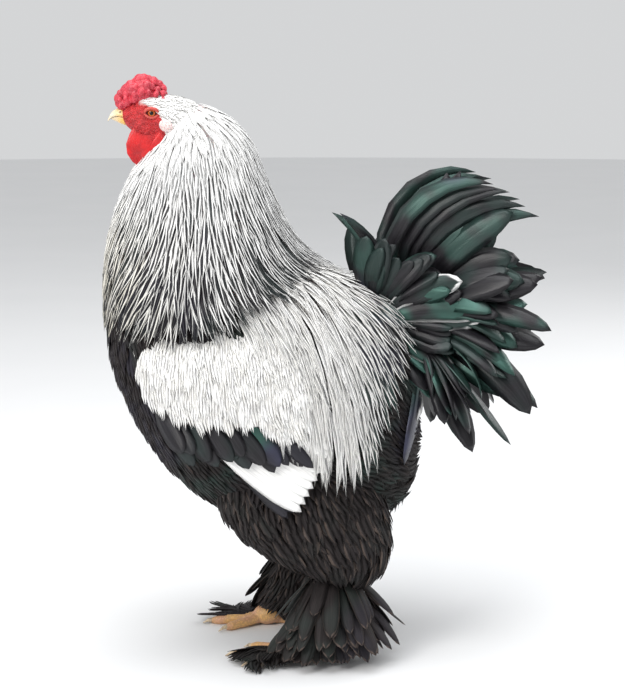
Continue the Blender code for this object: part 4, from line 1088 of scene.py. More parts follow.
def moulded(name, place, around=64, rings=40):
    # A ball whose points are placed by their share from pole to pole and their turn in degrees
    deselect()
    bpy.ops.mesh.primitive_uv_sphere_add(segments=around, ring_count=rings, radius=1.0)
    obj = bpy.context.object
    obj.name = name
    points = np.array([v.co for v in obj.data.vertices])
    share = np.arccos(np.clip(points[:, 2], -1, 1)) / math.pi
    turn = np.degrees(np.arctan2(points[:, 1], points[:, 0]))
    obj.data.vertices.foreach_set("co", place(share, turn).astype(np.float32).ravel())
    deselect()
    obj.select_set(True)
    bpy.context.view_layer.objects.active = obj
    bpy.ops.object.mode_set(mode="EDIT")
    bpy.ops.mesh.select_all(action="SELECT")
    bpy.ops.mesh.normals_make_consistent(inside=False)
    bpy.ops.object.mode_set(mode="OBJECT")
    bpy.ops.object.shade_smooth()
    return obj


def pole_free(share):
    # 0 at a ball's two poles and 1 elsewhere
    return np.where((share < 1e-6) | (share > 1 - 1e-6), 0.0, 1.0)


def joined(name, parts):
    deselect()
    for part in parts:
        part.select_set(True)
    bpy.context.view_layer.objects.active = parts[0]
    bpy.ops.object.join()
    parts[0].name = name
    return parts[0]


def applied(obj, kind, **settings):
    deselect()
    obj.select_set(True)
    bpy.context.view_layer.objects.active = obj
    modifier = obj.modifiers.new(kind.lower(), kind)
    for key, value in settings.items():
        setattr(modifier, key, value)
    bpy.ops.object.modifier_apply(modifier=modifier.name)
    return obj


def melted(obj, voxel, smoothing=4):
    applied(obj, "REMESH", mode="VOXEL", voxel_size=voxel, use_smooth_shade=True)
    if smoothing:
        applied(obj, "SMOOTH", factor=0.5, iterations=smoothing)
    return obj


def points_of(obj):
    points = np.empty(len(obj.data.vertices) * 3, np.float32)
    obj.data.vertices.foreach_get("co", points)
    return points.reshape(-1, 3).astype(float)


def set_points(obj, points):
    obj.data.vertices.foreach_set("co", points.astype(np.float32).ravel())
    obj.data.update()


def lump(name, centre, radii, tilt=0.0, around=24, rings=14):
    # An oval ball, tipped about Y
    c, s = math.cos(math.radians(tilt)), math.sin(math.radians(tilt))

    def place(share, turn):
        polar, around_ = share * math.pi, np.radians(turn)
        x = radii[0] * np.sin(polar) * np.cos(around_)
        y = radii[1] * np.sin(polar) * np.sin(around_)
        z = radii[2] * np.cos(polar)
        return np.stack([centre[0] + SHIFT + x * c + z * s, centre[1] + y, centre[2] - x * s + z * c], 1)

    return moulded(name, place, around, rings)


HEAD_X = (-0.1965, -0.192, -0.183, -0.170, -0.155, -0.140, -0.125, -0.110, -0.098)
HEAD_TOP = (0.606, 0.6110, 0.6155, 0.6200, 0.6225, 0.6230, 0.6195, 0.6115, 0.598)
HEAD_JAW = (0.601, 0.5930, 0.5840, 0.5760, 0.5710, 0.5680, 0.5700, 0.5770, 0.589)
HEAD_HALF = (0.002, 0.0092, 0.0132, 0.0176, 0.0206, 0.0222, 0.0218, 0.0165, 0.004)
HEAD_SQUARE = 2.1


def skull(x, q, side, lift=0.0):
    # The head: x runs back from the beak, q 0 is the crown, 1 the cheek, 2 the jaw
    def bare(x, q):
        rows = (HEAD_X, HEAD_TOP, HEAD_JAW, HEAD_HALF)
        return np.stack([x, *slice_of(rows, x, np.clip(q, 0.02, 1.98), HEAD_SQUARE)], -1)

    point = raised(bare, x, q, side, 0.0, 0.0015, 0.01)
    ahead = raised(bare, x, q, side, 0.001, 0.0015, 0.01)
    return point - (ahead - point) * 1000 * np.asarray(lift)[..., None]


def section_ball(name, form, x_low, x_high, depth, around=64, rings=40):
    # A ball over slices across X: the pole axis runs along the body
    def place(share, turn):
        x = (x_low + x_high) / 2 - (x_high - x_low) / 2 * np.cos(share * math.pi)
        q, side = np.abs(turn) / 90.0, np.sign(turn) + (turn == 0)
        points = np.where((side > 0)[:, None], form(x, q, 1.0, depth), form(x, q, -1.0, depth))
        pole = (share < 1e-6) | (share > 1 - 1e-6)
        points[pole, 1] = 0.0
        return points

    return moulded(name, place, around, rings)


def column_ball(name, form, side, depth):
    def place(share, turn):
        w = (1 - np.cos(share * math.pi)) / 2
        return form(w, turn, side, -depth * np.ones_like(w))

    return moulded(name, place, 40, 30)


def neck_place(share, turn):
    v = -0.2 + 1.1 * (1 - np.cos(share * math.pi)) / 2
    depth = np.interp(v, (-0.2, 0.1, 0.35, 0.6, 0.9), (0.0030, 0.0040, 0.0065, 0.010, 0.030))
    near, far = (cape(v, np.abs(turn), side, -depth) for side in (1.0, -1.0))
    return np.where((turn >= 0)[:, None], near, far)


def flat_trunk(x, q, side, depth):
    return girdle(q, x, side, np.full(len(x), -depth))


def flat_skull(x, q, side, depth):
    return skull(x, q, side, np.full(len(x), depth))


# %% [markdown]
# A voxel of three millimetres suits the body but not the face. So the head's faces are cut finer
# and drawn onto a small head of its own, which has the brow, the cheek and the jaw.

# %% The skin
CHEEK, CHEEK_RADII = (-0.169, 0.0105, 0.590), (0.014, 0.0075, 0.011)
BROW, BROW_RADII = (-0.166, 0.0112, 0.6135), (0.0130, 0.0062, 0.0036)
JOWL, JOWL_RADII = (-0.150, 0.0120, 0.578), (0.0150, 0.0080, 0.0085)
EYE_Y, EYE_Z, EYE_R = 0.0137, 0.6045, 0.0072
BODY_VOXEL, FACE_VOXEL, COMB_VOXEL = 0.0032, 0.0010, 0.0008
TRUNK_DEPTH, THIGH_DEPTH, SHANK_DEPTH = 0.0055, 0.005, 0.002
def wing_under(side):
    # A low pad under the feathers of the wing
    def place(share, turn):
        polar, around = share * math.pi, np.radians(turn)
        x = -0.083 + 0.092 * np.sin(polar) * np.cos(around)
        z = 0.330 + 0.070 * np.sin(polar) * np.sin(around)
        q = q_at(x, z)
        z = flank(q, x, side)[..., 2]
        low = np.where(z > np.interp(x, BOW_EDGE_X, BOW_EDGE_Z) + 0.004, 0.0, 0.010)
        lift = np.where(np.cos(polar) > -1e-6, pad_height(x, z) - 0.0035 - low, -0.012)
        return flank(q, x, side, lift)

    return place


parts = [
    section_ball("trunk", flat_trunk, -0.2135, 0.134, TRUNK_DEPTH, 72, 56),
    moulded("neck_form", neck_place, 56, 40),
    section_ball("head_form", flat_skull, -0.1965, -0.098, 0.0, 48, 32),
    lump("stump", TAIL_ROOT, TAIL_CORE),
]
for name, side in SIDES:
    parts.append(moulded("wing_under_" + name, wing_under(side), 48, 36))
    parts.append(column_ball("thigh_form_" + name, thigh, side, THIGH_DEPTH))
    parts.append(column_ball("shank_form_" + name, shank, side, SHANK_DEPTH))
skin = melted(joined("skin", parts), BODY_VOXEL)

small = [section_ball("small_head", flat_skull, -0.1965, -0.098, 0.0, 64, 48)]
for _, side in SIDES:
    for centre, radii, tilt in ((CHEEK, CHEEK_RADII, 20), (BROW, BROW_RADII, 12), (JOWL, JOWL_RADII, -20)):
        small.append(lump("bulge", (centre[0], side * centre[1], centre[2]), radii, tilt))
small_head = melted(joined("small_head", small), FACE_VOXEL, 12)

deselect()
skin.select_set(True)
bpy.context.view_layer.objects.active = skin
bpy.ops.object.mode_set(mode="EDIT")
bpy.ops.mesh.select_all(action="DESELECT")
bpy.ops.object.mode_set(mode="OBJECT")
FACE_BACK, FACE_FLOOR = -0.112 + SHIFT, 0.560
for face in skin.data.polygons:
    face.select = face.center.x < FACE_BACK and face.center.z > FACE_FLOOR
bpy.ops.object.mode_set(mode="EDIT")
bpy.ops.mesh.subdivide(number_cuts=2)
bpy.ops.object.mode_set(mode="OBJECT")
points = points_of(skin)
fade = np.clip((FACE_BACK - 0.004 - points[:, 0]) / 0.010, 0, 1)
fade *= np.clip((points[:, 2] - FACE_FLOOR - 0.003) / 0.010, 0, 1)
group = skin.vertex_groups.new(name="face")
for level in range(1, 21):
    inside = np.nonzero(np.round(fade * 20) == level)[0]
    group.add([int(i) for i in inside], level / 20, "REPLACE")
applied(skin, "SHRINKWRAP", target=small_head, vertex_group="face", wrap_method="NEAREST_SURFACEPOINT")
bpy.data.objects.remove(small_head)

# The sockets: the skin dips round each eye and lies behind it in the opening
points = points_of(skin)
reach = np.hypot((points[:, 0] - EYE_X - SHIFT) / 1.1, points[:, 2] - EYE_Z)
near = (reach < 0.0105) & (np.abs(points[:, 1]) > 0.006)
dip = np.where(reach < 0.0046, 0.0060, 0.0012 * (1 - np.clip((reach - 0.0046) / 0.0059, 0, 1)))
points[:, 1] -= np.sign(points[:, 1]) * np.where(near, dip, 0)
set_points(skin, points)
print("Skin faces:", len(skin.data.polygons))

# %% [markdown]
# The skin carries the same markings as the coat, so that no gap between feathers shows a wrong
# colour: white under the cape, saddle and wing, black-brown below, and bare red skin on the face.

# %% Markings of the skin
RED_SKIN = (0.58, 0.024, 0.028)
FACE_EDGE_Z = (0.555, 0.575, 0.588, 0.600, 0.609, 0.616, 0.630)
FACE_EDGE_X = (-0.170, -0.146, -0.136, -0.144, -0.152, -0.172, -0.186)
WHITE_DOWN_X = (-0.22, -0.17, -0.05, 0.03, 0.09, 0.12)
WHITE_DOWN_Z = (0.430, 0.340, 0.270, 0.215, 0.300, 0.400)


def bare_face(x, z):
    # 1 on the bare face: in front of a line from the crown past the eye and the lobe to the throat
    edge = np.interp(z, FACE_EDGE_Z, FACE_EDGE_X)
    return np.clip((edge + SHIFT - x) / 0.0015, 0, 1)


x, y, z = points.T
white = np.clip((z - np.interp(x - SHIFT, WHITE_DOWN_X, WHITE_DOWN_Z)) / 0.004, 0, 1)
face = bare_face(x, z) * (z > 0.55)
white = np.where(x - SHIFT > 0.088, 0, white)
white, dark_skin, pale_skin = white[:, None], np.array((0.020, 0.016, 0.016)), np.array((0.74, 0.71, 0.68))
colours = dark_skin * (1 - white) + pale_skin * white
colours = colours * (1 - face[:, None]) + np.array(RED_SKIN) * face[:, None]
layer = skin.data.attributes.new("markings", "FLOAT_COLOR", "POINT")
layer.data.foreach_set("color", np.c_[colours, np.ones(len(colours))].astype(np.float32).ravel())
layer = skin.data.attributes.new("bare", "FLOAT", "POINT")
layer.data.foreach_set("value", face.astype(np.float32))


def fleshy(name, **constants):
    # Red skin of head: small grains on a soft, waxy ground, deeper red in its folds
    finish = Finish(name, Subsurface_Weight=0.12, Subsurface_Scale=0.004, **constants)
    finish.shader.inputs["Subsurface Radius"].default_value = (1.0, 0.25, 0.15)
    return finish


skin_finish = fleshy("skin_and_face", Roughness=0.52)
place = skin_finish.place()
bare = skin_finish.attribute("bare")
grain = skin_finish.cells(place, 620.0)
coarse = skin_finish.noise(place, 190.0, 3.0, 0.6)
ground = skin_finish.attribute("markings", "Color")
deeper = skin_finish.mix(1.0, ground, (0.58, 0.42, 0.48), "MULTIPLY")
skin_finish.set("Base Color", skin_finish.mix(coarse.rise(0.40, 0.66) * 0.75, ground, deeper))
skin_finish.bump((grain * -0.4 + coarse * 2.2) * bare, 1.0, 0.0030)
wear(skin, skin_finish)
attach(skin, "root")
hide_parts("head")
print("Skin triangles:", sum(len(p.vertices) - 2 for p in skin.data.polygons))

# %% [markdown]
# Each eye is a ball as deep as a real one. Its iris is orange with darker spokes, and a clear
# gloss stands for the wet cornea. Two lids, thick folds of skin, close round it.

# %% Eyes and lids


def eye_place(side):
    def place(share, turn):
        polar, around_ = share * math.pi, np.radians(turn)
        bulge = 1.0 + 0.05 * np.exp(-((polar / 0.45) ** 2))
        out = np.cos(polar) * bulge
        x, z = np.sin(polar) * np.cos(around_), np.sin(polar) * np.sin(around_)
        return np.stack([EYE_X + SHIFT + EYE_R * x, side * (EYE_Y + EYE_R * out), EYE_Z + EYE_R * z], 1)

    return place


eye_finish = Finish("eye", Roughness=0.30, Coat_Weight=0.35, Coat_Roughness=0.03, Specular_IOR_Level=0.2)
x, y, z = eye_finish.split(eye_finish.place())
dx, dz = x - (EYE_X + SHIFT), z - EYE_Z
far = (dx * dx + dz * dz).sum_with("SQRT")
angle = dz.sum_with("ARCTAN2", dx)
spokes = eye_finish.noise(eye_finish.join(angle * 9.0, far * 300.0, 0.0), 1.0, 2.0)
iris = eye_finish.mix(spokes.rise(0.35, 0.7), (0.70, 0.17, 0.018), (0.34, 0.060, 0.010))
iris = eye_finish.mix(far.rise(0.0030, 0.0042), iris, (0.10, 0.012, 0.006))
eye_finish.set("Base Color", eye_finish.mix(far.rise(0.0021, 0.0024), (0.004, 0.003, 0.003), iris))

LID_PLACE, LID_REACH = 0.0198, (0.0072, 0.0060)


def lid_place(side, upper):
    # Half of an almond ring, thickest in its middle, lying on the eye
    def place(share, turn):
        sweep = math.pi * share * 1.06 - 0.03 * math.pi
        ring = np.radians(turn)
        fat = 0.0019 * np.sin(np.pi * np.clip(share, 0.04, 0.96)) ** 0.5 * (1.25 if upper else 0.95)
        r = 1.0 + fat * np.cos(ring) / 0.006
        up = 1.0 if upper else -1.0
        x = -LID_REACH[0] * np.cos(sweep) * r
        z = up * LID_REACH[1] * np.sin(sweep) * r * (0.80 if upper else 0.86) + 0.0002
        drop = 0.0010 * (x / LID_REACH[0]) ** 2 + 0.09 * x
        away = LID_PLACE - drop * 0.6 + fat * np.sin(ring) * 1.2 + 0.0004 * up
        return np.stack([EYE_X + SHIFT + x, side * away, EYE_Z + z - 0.04 * x], 1)

    return place


lid_finish = fleshy("lids", Roughness=0.45)
soft = lid_finish.noise(lid_finish.place(), 700.0, 2.0)
lid_finish.set("Base Color", lid_finish.mix(soft, (0.68, 0.110, 0.085), (0.36, 0.022, 0.022)))
lid_finish.bump(soft, 0.3, 0.0003)
for name, side in SIDES:
    eye = moulded("eyeball_" + name, eye_place(side), 48, 32)
    dressed(eye, eye_finish, "eye", "eye_" + name)
    lids = joined(
        "lids_" + name, [moulded("lid", lid_place(side, upper), 16, 28) for upper in (True, False)]
    )
    dressed(lids, lid_finish, "face_skin")

# %% [markdown]
# The pea comb is a few low ridges of fused beads. Beads of many sizes are set in rows on a sloping
# base and melted together, which leaves the soft clefts of the real comb.

# %% Comb
COMB, COMB_RADII, COMB_TILT = (-0.1735, 0.0, 0.6225), (0.0235, 0.0100, 0.0150), 20.0
COMB_FRONT, COMB_LONG, COMB_FOOT, COMB_HIGH = -0.1965, 0.0485, 0.6150, 0.0245
beads = [lump("comb_base", COMB, COMB_RADII, COMB_TILT, 32, 20)]
# Rows of beads: place across, height, size, how many
BEAD_ROWS = (
    (0.0, 0.0005, 0.0050, 10), (-0.0074, -0.0055, 0.0043, 9), (0.0074, -0.0055, 0.0043, 9),
    (-0.0104, -0.0125, 0.0034, 7), (0.0104, -0.0125, 0.0034, 7),
)
for y, high, size, many in BEAD_ROWS:
    for t in np.linspace(0.0, 1.0, many):
        centre = (
            COMB_FRONT + COMB_LONG * t + rng.uniform(-0.001, 0.001),
            y + rng.uniform(-0.0012, 0.0012),
            COMB_FOOT + COMB_HIGH * math.sin(math.pi * (0.12 + 0.66 * t)) + high + rng.uniform(-0.001, 0.001),
        )
        fat = size * (0.86 + 0.3 * math.sin(math.pi * t)) * rng.uniform(0.72, 1.08)
        beads.append(lump("bead", centre, (fat, fat * 0.9, fat * 1.25), rng.uniform(-20, 20), 14, 9))
for x, y, z, fat in (
    (-0.1985, 0.0, 0.6195, 0.0050), (-0.1975, 0.0035, 0.6150, 0.0046), (-0.1975, -0.0035, 0.6150, 0.0046),
    (-0.1930, 0.0058, 0.6125, 0.0046), (-0.1930, -0.0058, 0.6125, 0.0046), (-0.1880, 0.0070, 0.6165, 0.0050),
    (-0.1880, -0.0070, 0.6165, 0.0050), (-0.1800, 0.0085, 0.6195, 0.0046), (-0.1800, -0.0085, 0.6195, 0.0046),
):
    beads.append(lump("bead", (x, y, z), (fat, fat * 0.9, fat * 1.2), 0, 14, 9))
comb = melted(joined("comb_beads", beads), COMB_VOXEL, 5)
comb_finish = fleshy("comb", Roughness=0.42)
place = comb_finish.place()
fine, wide = comb_finish.cells(place, 520.0), comb_finish.noise(place, 110.0, 3.0)
tint = comb_finish.mix(wide.rise(0.35, 0.7), (0.56, 0.018, 0.040), (0.36, 0.008, 0.026))
comb_finish.set("Base Color", comb_finish.mix(fine.rise(0.1, 0.7) * 0.35, tint, (0.72, 0.12, 0.15)))
comb_finish.bump(fine * -0.5 + wide, 0.6, 0.0009)
dressed(comb, comb_finish, "comb_skin", "comb")

# %% [markdown]
# Wattles are thin flaps that hang from the jaw, thicker along their rounded edge. Their surface
# has the fine grain of wet leather. A second, narrow fold hangs behind each, below the ear lobe.

# %% Wattles and ear lobes
WATTLE_TOP, WATTLE_LENGTH, WATTLE_X, WATTLE_Y = 0.590, 0.0450, -0.1725, 0.0105
WATTLE_SHARE = (0.0, 0.18, 0.42, 0.66, 0.86, 0.97, 1.0)
WATTLE_BACK = (0.004, 0.002, 0.0, 0.0, 0.001, 0.002, 0.002)
WATTLE_LONG = (0.0125, 0.0150, 0.0168, 0.0158, 0.0112, 0.0056, 0.0016)
WATTLE_THICK = (0.0034, 0.0032, 0.0028, 0.0030, 0.0030, 0.0022, 0.0008)


def wattle_place(side, back_by=0.0, top=WATTLE_TOP, tall=WATTLE_LENGTH, narrow=1.0, out_by=0.0):
    def place(share, turn):
        s = (1 - np.cos(share * math.pi)) / 2
        rows = (WATTLE_BACK, WATTLE_LONG, WATTLE_THICK)
        back, long, thick = (np.interp(s, WATTLE_SHARE, row) for row in rows)
        ring = np.radians(turn)
        ends = pole_free(share)
        fold = 0.0011 * np.cos(2 * ring) + 0.0007 * np.sin(3.2 * ring + 7 * s) * s
        away = WATTLE_Y + out_by + 0.0035 * np.sin(math.pi * s) + fold
        x = WATTLE_X + back_by + SHIFT + back - 0.012 * s * (narrow < 1) + long * narrow * np.cos(ring) * ends
        return np.stack([x, side * (away + thick * np.sin(ring) * ends), top - tall * s], 1)

    return place


wattle_finish = fleshy("wattles", Roughness=0.36)
place = wattle_finish.place()
fine, wide = wattle_finish.cells(place, 780.0), wattle_finish.noise(place, 90.0, 2.0)
tint = wattle_finish.mix(wide.rise(0.35, 0.7), (0.60, 0.010, 0.012), (0.40, 0.006, 0.010))
wattle_finish.set("Base Color", tint)
wattle_finish.bump(fine * -0.6 + wide * 0.8, 0.45, 0.0007)
lobe_finish = fleshy("ear_lobes", Roughness=0.55)
place = lobe_finish.place()
fine = lobe_finish.noise(place, 420.0, 3.0)
lobe_finish.set("Base Color", lobe_finish.mix(fine.rise(0.35, 0.68), (0.80, 0.72, 0.70), (0.66, 0.44, 0.43)))
lobe_finish.bump(fine, 0.5, 0.0008)
LOBE, LOBE_RADII, LOBE_TILT = (-0.1440, 0.0205, 0.5910), (0.0088, 0.0044, 0.0072), 24.0
for name, side in SIDES:
    folds = [moulded("flap", wattle_place(side), 48, 40)]
    folds.append(moulded("fold", wattle_place(side, 0.0240, 0.588, 0.036, 0.42, 0.0045), 32, 30))
    flap = joined("wattle_flap_" + name, folds)
    dressed(flap, wattle_finish, "comb_skin", "wattle_" + name)
    lobe = lump("lobe_" + name, (LOBE[0], side * LOBE[1], LOBE[2]), LOBE_RADII, LOBE_TILT, 40, 28)
    points = points_of(lobe)
    ripple = 0.0004 * np.sin(points[:, 0] * 1900 + points[:, 2] * 900) + 0.0003 * np.sin(points[:, 2] * 2600)
    points[:, 1] += side * ripple
    set_points(lobe, points)
    dressed(lobe, lobe_finish, "lobe_skin", "ear_lobe_" + name)

# %% [markdown]
# The beak is two curved wedges of horn. The upper one hooks over the lower one, has a slit nostril
# on each side and turns from yellow at the gape to pale horn at the tip.

# %% Beak
BILL_X = (-0.186, -0.194, -0.201, -0.207, -0.2105)
CULMEN_Z = (0.6100, 0.6105, 0.6085, 0.6035, 0.5965)
MOUTH_Z = (0.5990, 0.5995, 0.6000, 0.5980, 0.5945)
BILL_HALF = (0.0082, 0.0070, 0.0048, 0.0026, 0.0010)
GONYS_X = (-0.186, -0.194, -0.201, -0.2065)
GONYS_Z = (0.5895, 0.5917, 0.5947, 0.5972)
LOWER_HALF = (0.0076, 0.0062, 0.0040, 0.0012)
NOSTRIL = (-0.1962, 0.6052)


def bill_place(xs, outer, halves, upper):
    def place(share, turn):
        x = xs[-1] + (xs[0] + 0.004 - xs[-1]) * (1 - np.cos(share * math.pi)) / 2
        keys = [np.array(row)[::-1] for row in (xs, outer, halves)]
        z, half = curve(keys[0], keys[1], x), curve(keys[0], keys[2], x)
        mouth = curve(BILL_X[::-1], MOUTH_Z[::-1], x) + (0.0003 if upper else -0.0003)
        ends = pole_free(share)
        ring = np.radians(turn)
        over = np.clip(np.sin(ring), 0, 1) ** 0.8
        under = np.clip(-np.sin(ring), 0, 1) * (-0.0006 if upper else 0.0004) * (-1 if upper else 1)
        y = half * np.cos(ring) * ends
        above = mouth + (z - mouth) * over - NOSTRIL[1]
        pit = np.exp(-(((x - NOSTRIL[0]) / 0.0016) ** 2) - (above / 0.0008) ** 2)
        y = y - np.sign(y) * 0.0012 * pit * (1 if upper else 0)
        return np.stack([x + SHIFT, y, mouth + (z - mouth) * over * ends + under], 1)

    return place


horn = Finish("horn", Roughness=0.34, Coat_Weight=0.25, Coat_Roughness=0.2)
x, y, z = horn.split(horn.place())
layers = horn.noise(horn.join(x * 60.0, y * 260.0, z * 420.0), 1.0, 3.0)
tipward = (x * -1.0 + SHIFT).rise(0.192, 0.207)
base = horn.mix(tipward, (0.80, 0.47, 0.10), (0.80, 0.70, 0.52))
base = horn.mix(layers.rise(0.4, 0.7) * 0.35, base, (0.55, 0.40, 0.22))
nx, nz = x - (NOSTRIL[0] + SHIFT), z - NOSTRIL[1]
# painted shade: the pit of each nostril is painted dark brown
outside_nostril_shade = (nx * nx * 0.30 + nz * nz).sum_with("SQRT").rise(0.0005, 0.0010)
horn.set("Base Color", horn.mix(outside_nostril_shade, (0.06, 0.025, 0.015), base))
horn.bump(layers, 0.25, 0.0003)
upper = moulded("upper_bill", bill_place(BILL_X, CULMEN_Z, BILL_HALF, True), 48, 44)
dressed(upper, horn, "horn", "beak_upper")
lower = moulded("lower_bill", bill_place(GONYS_X, GONYS_Z, LOWER_HALF, False), 40, 30)
dressed(lower, horn, "horn", "beak_lower")

# %% [markdown]
# Small white feathers cover the crown behind the comb and the side of the head behind the eye.
# They shrink towards the face and grow into the cape.

# %% Feathers of the head
for name, side in SIDES:
    reach_a, reach_b = (-0.186, -0.100), (0.02, 1.75)

    def behind_face(x, q, side=side):
        place = skull(x, q, side)
        return (bare_face(place[..., 0] + 0.002, place[..., 2]) < 0.5) & (place[..., 2] > 0.575)

    x, q = scatter(skull, side, reach_a, reach_b, 0.0021, behind_face)
    count = len(x)
    length = np.interp(x, (-0.185, -0.15, -0.11), (0.008, 0.012, 0.020)) * rng.uniform(0.85, 1.15, count)
    x = np.minimum(x + length * 0.6, -0.0985)
    sway = rng.normal(0, 10.0, count)
    way_x = x[:, None] - length[:, None] * (1 - SHORT_ROWS)
    way_q = q[:, None] + np.zeros_like(way_x)
    droop = np.radians(14.0 + sway)[:, None] * (SHORT_ROWS - 0.2) * length[:, None] * 40
    lifts = lift_from(-0.0004, rng.uniform(0.0006, 0.0012, count), SHORT_ROWS)
    brow = np.exp(-(((way_x + 0.166) / 0.013) ** 2) - ((way_q - 0.50) / 0.34) ** 2)
    lifts = lifts + 0.0016 * brow
    centres, outs = stand(skull, way_x, way_q + droop, side, lifts, 0.002)
    marks = marked(count, patch(way_x[:, 0], q, reach_a, reach_b), -1.0, 0.0, 0.1)
    crown = feathers(
        "crown_" + name, centres, outs, np.interp(x, (-0.18, -0.11), (0.0014, 0.0028)),
        outline(SOFT, SHORT_ROWS), SHORT_ROWS, marks, cup=0.02, thick=0.0002,
        roll=rng.normal(0.0, 0.04, count),
    )
    dressed(crown, silver, "cape_feathers")

# %% [markdown]
# The feet are yellow under their feathers. Each toe is a tapering roll with a row of overlapping
# scutes on top and a soft pad below, and ends in a blunt, worn claw.

# %% Feet and claws
STANCE_Y, BALL_X = 0.056, -0.012
TOES = (("inner", -30.0, 0.050), ("middle", 0.0, 0.062), ("outer", 32.0, 0.052), ("hind", 172.0, 0.030))
TOE_SHARE, TOE_HIGH = (0.0, 0.35, 0.88, 1.0), (0.011, 0.0072, 0.0048, 0.0042)
TOE_FAT = (0.0064, 0.0056, 0.0048, 0.0031)
CLAW_LENGTH, CLAW_SUNK, SCUTE = 0.0135, 0.003, 0.0036
CLAW_SHARE, CLAW_HIGH, CLAW_FAT = (0, 0.55, 1), (0.0052, 0.0046, 0.0013), (0.0029, 0.0022, 0.0005)


def on_toe(side, back, angle, along, off, height):
    heading = math.radians(angle)
    x = BALL_X + SHIFT + back - along * math.cos(heading) + off * math.sin(heading)
    y = side * (STANCE_Y + along * math.sin(heading) + off * math.cos(heading))
    return np.stack([x, y, np.maximum(height, 0.0)], 1)


def toe_place(side, back, angle, length):
    def place(share, turn):
        s = (1 - np.cos(share * math.pi)) / 2
        high, fat = np.interp(s, TOE_SHARE, TOE_HIGH), np.interp(s, TOE_SHARE, TOE_FAT)
        ring = np.radians(turn)
        scute = (s * length / SCUTE) % 1.0
        top = np.clip(np.sin(ring), 0, 1)
        pad = np.clip(-np.sin(ring), 0, 1) * 0.10 * np.sin(s * 3 * math.pi) ** 2
        fat = fat * (1 + top * (0.05 + 0.09 * scute) + pad) * pole_free(share)
        return on_toe(side, back, angle, length * s, fat * np.cos(ring), high + fat * np.sin(ring))

    return place


def claw_place(side, back, angle, length):
    def place(share, turn):
        s = (1 - np.cos(share * math.pi)) / 2
        high = np.interp(s, CLAW_SHARE, CLAW_HIGH)
        fat = np.interp(s, (0, 0.5, 1), CLAW_FAT) * pole_free(share)
        ring = np.radians(turn)
        along = length - CLAW_SUNK + CLAW_LENGTH * s
        return on_toe(side, back, angle, along, fat * np.cos(ring), high + fat * np.sin(ring))

    return place


scales = Finish("foot_scales", Roughness=0.48)
place = scales.place()
fine, blotch = scales.cells(place, 420.0), scales.noise(place, 60.0, 3.0)
tint = scales.mix(blotch.rise(0.35, 0.65), (0.74, 0.44, 0.16), (0.66, 0.36, 0.22))
scales.set("Base Color", scales.mix(fine.rise(0.25, 0.6) * 0.5, tint, (0.42, 0.24, 0.12)))
scales.bump(fine * -1.0, 0.5, 0.0006)
claw_horn = Finish("claw_horn", Roughness=0.35)
layers = claw_horn.noise(claw_horn.place(), 240.0, 3.0)
claw_horn.set("Base Color", claw_horn.mix(layers.rise(0.35, 0.7), (0.62, 0.50, 0.34), (0.30, 0.22, 0.15)))
claw_horn.bump(layers, 0.2, 0.0003)
for name, side in SIDES:
    back = LEG_BACK[side]
    centre = (BALL_X + back + 0.004, side * STANCE_Y, 0.0125)
    parts = [lump("ball", centre, (0.0165, 0.0125, 0.0120), 0, 32, 20)]
    parts += [moulded("toe", toe_place(side, back, angle, length), 24, 70) for _, angle, length in TOES]
    foot = melted(joined("scaly_foot_" + name, parts), FACE_VOXEL, 1)
    points = points_of(foot)
    points[:, 2] = np.maximum(points[:, 2], 0.0)
    set_points(foot, points)
    dressed(foot, scales, "foot_skin", "foot_" + name)
    for toe, angle, length in TOES:
        claw = moulded(f"nail_{name}_{toe}", claw_place(side, back, angle, length), 20, 24)
        dressed(claw, claw_horn, "horn", f"claw_{name}_{toe}")

# %% [markdown]
# Brahmas have feathered feet. Soft dark plumes fan out sideways from the middle and outer toes.

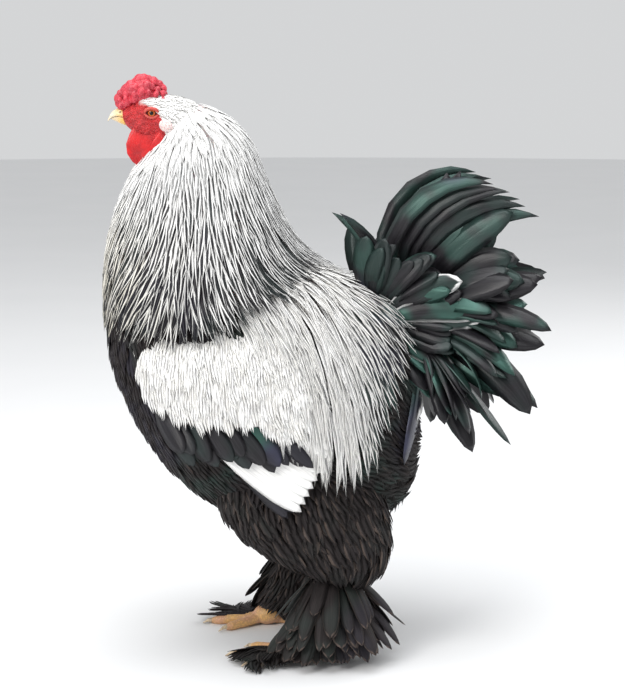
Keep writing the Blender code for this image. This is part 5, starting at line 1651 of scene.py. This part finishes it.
# %% Feathers of the toes
for name, side in SIDES:
    count = 70
    angle = np.radians(np.where(np.arange(count) % 2, 32.0, 0.0))
    along_toe = rng.uniform(-0.1, 0.85, count) * 0.054
    roots = np.stack(
        [
            BALL_X + SHIFT + LEG_BACK[side] - along_toe * np.cos(angle),
            side * (STANCE_Y + along_toe * np.sin(angle)),
            0.0145 - 0.08 * along_toe,
        ],
        1,
    )
    heading, fall = np.radians(rng.uniform(5, 110, count)), np.radians(rng.uniform(-4, 9, count))
    ways, outs = fanned(heading, fall, side)
    length = rng.uniform(0.026, 0.046, count)
    centres, outs = spray(roots, ways, outs, length, rng.uniform(4, 14, count), LONG_ROWS)
    centres[..., 2] = np.maximum(centres[..., 2], 0.0012)
    marks = marked(
        count, patch(along_toe, heading, (-0.01, 0.05), (0, 2)), rng.uniform(0.9, 1.2, count), 0.1, 0.2
    )
    plumes = feathers(
        "toe_plumes_" + name, centres, outs, rng.uniform(0.004, 0.008, count), outline(ROUND, LONG_ROWS),
        LONG_ROWS, marks, thick=0.0006, cup=0.15, roll=rng.normal(0, 0.25, count), strips=SPLIT, fray=0.15,
    )
    dressed(plumes, soft_dark, "leg_feathers")

# %% [markdown]
# Under the tail the rump is closed by loose dark fluff. Its feathers are rooted in the skin
# itself: each takes a point of it and lies down along the surface, a little off it.

# %% Fluff of the rump
points = points_of(skin)
normals = np.array([v.normal for v in skin.data.vertices])
rear = (points[:, 0] - SHIFT > 0.080) & (normals[:, 0] > 0.10)
rear &= (points[:, 2] > 0.165) & (points[:, 2] < 0.400)
for name, side in SIDES:
    pick = rng.choice(np.nonzero(rear & (points[:, 1] * side >= 0))[0], 700, replace=False)
    count, outs = len(pick), normals[pick]
    down = np.array([0.15, 0.0, -1.0]) + rng.normal(0, 0.16, (count, 3))
    ways = unit(unit(down - outs * np.sum(down * outs, 1)[:, None]) + outs * 0.14)
    roots = points[pick] - outs * 0.001
    length, bend = rng.uniform(0.022, 0.040, count), rng.uniform(0, 8, count)
    centres, outs = spray(roots, ways, outs, length, bend, SHORT_ROWS)
    marks = marked(
        count, patch(points[pick, 1], points[pick, 2], (-0.14, 0.14), (0.15, 0.42)),
        rng.uniform(0.85, 1.1, count), 0.05, 0.2,
    )
    fluff = feathers(
        "rump_fluff_" + name, centres, outs, rng.uniform(0.0040, 0.0064, count), outline(SOFT, SHORT_ROWS),
        SHORT_ROWS, marks, cup=0.12, roll=rng.normal(0, 0.15, count), strips=SPLIT, fray=0.18,
    )
    dressed(fluff, soft_dark, "body_feathers")

# %% [markdown]
# Last, the sizes of the solids and of the dressed model are noted side by side.

# %% Sizes and the end
visual_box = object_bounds()
for axis, low, high, seen_low, seen_high in zip("XYZ", *cad_box, *visual_box):
    print(axis, "solids", round(low, 4), round(high, 4), "dressed", round(seen_low, 4), round(seen_high, 4))
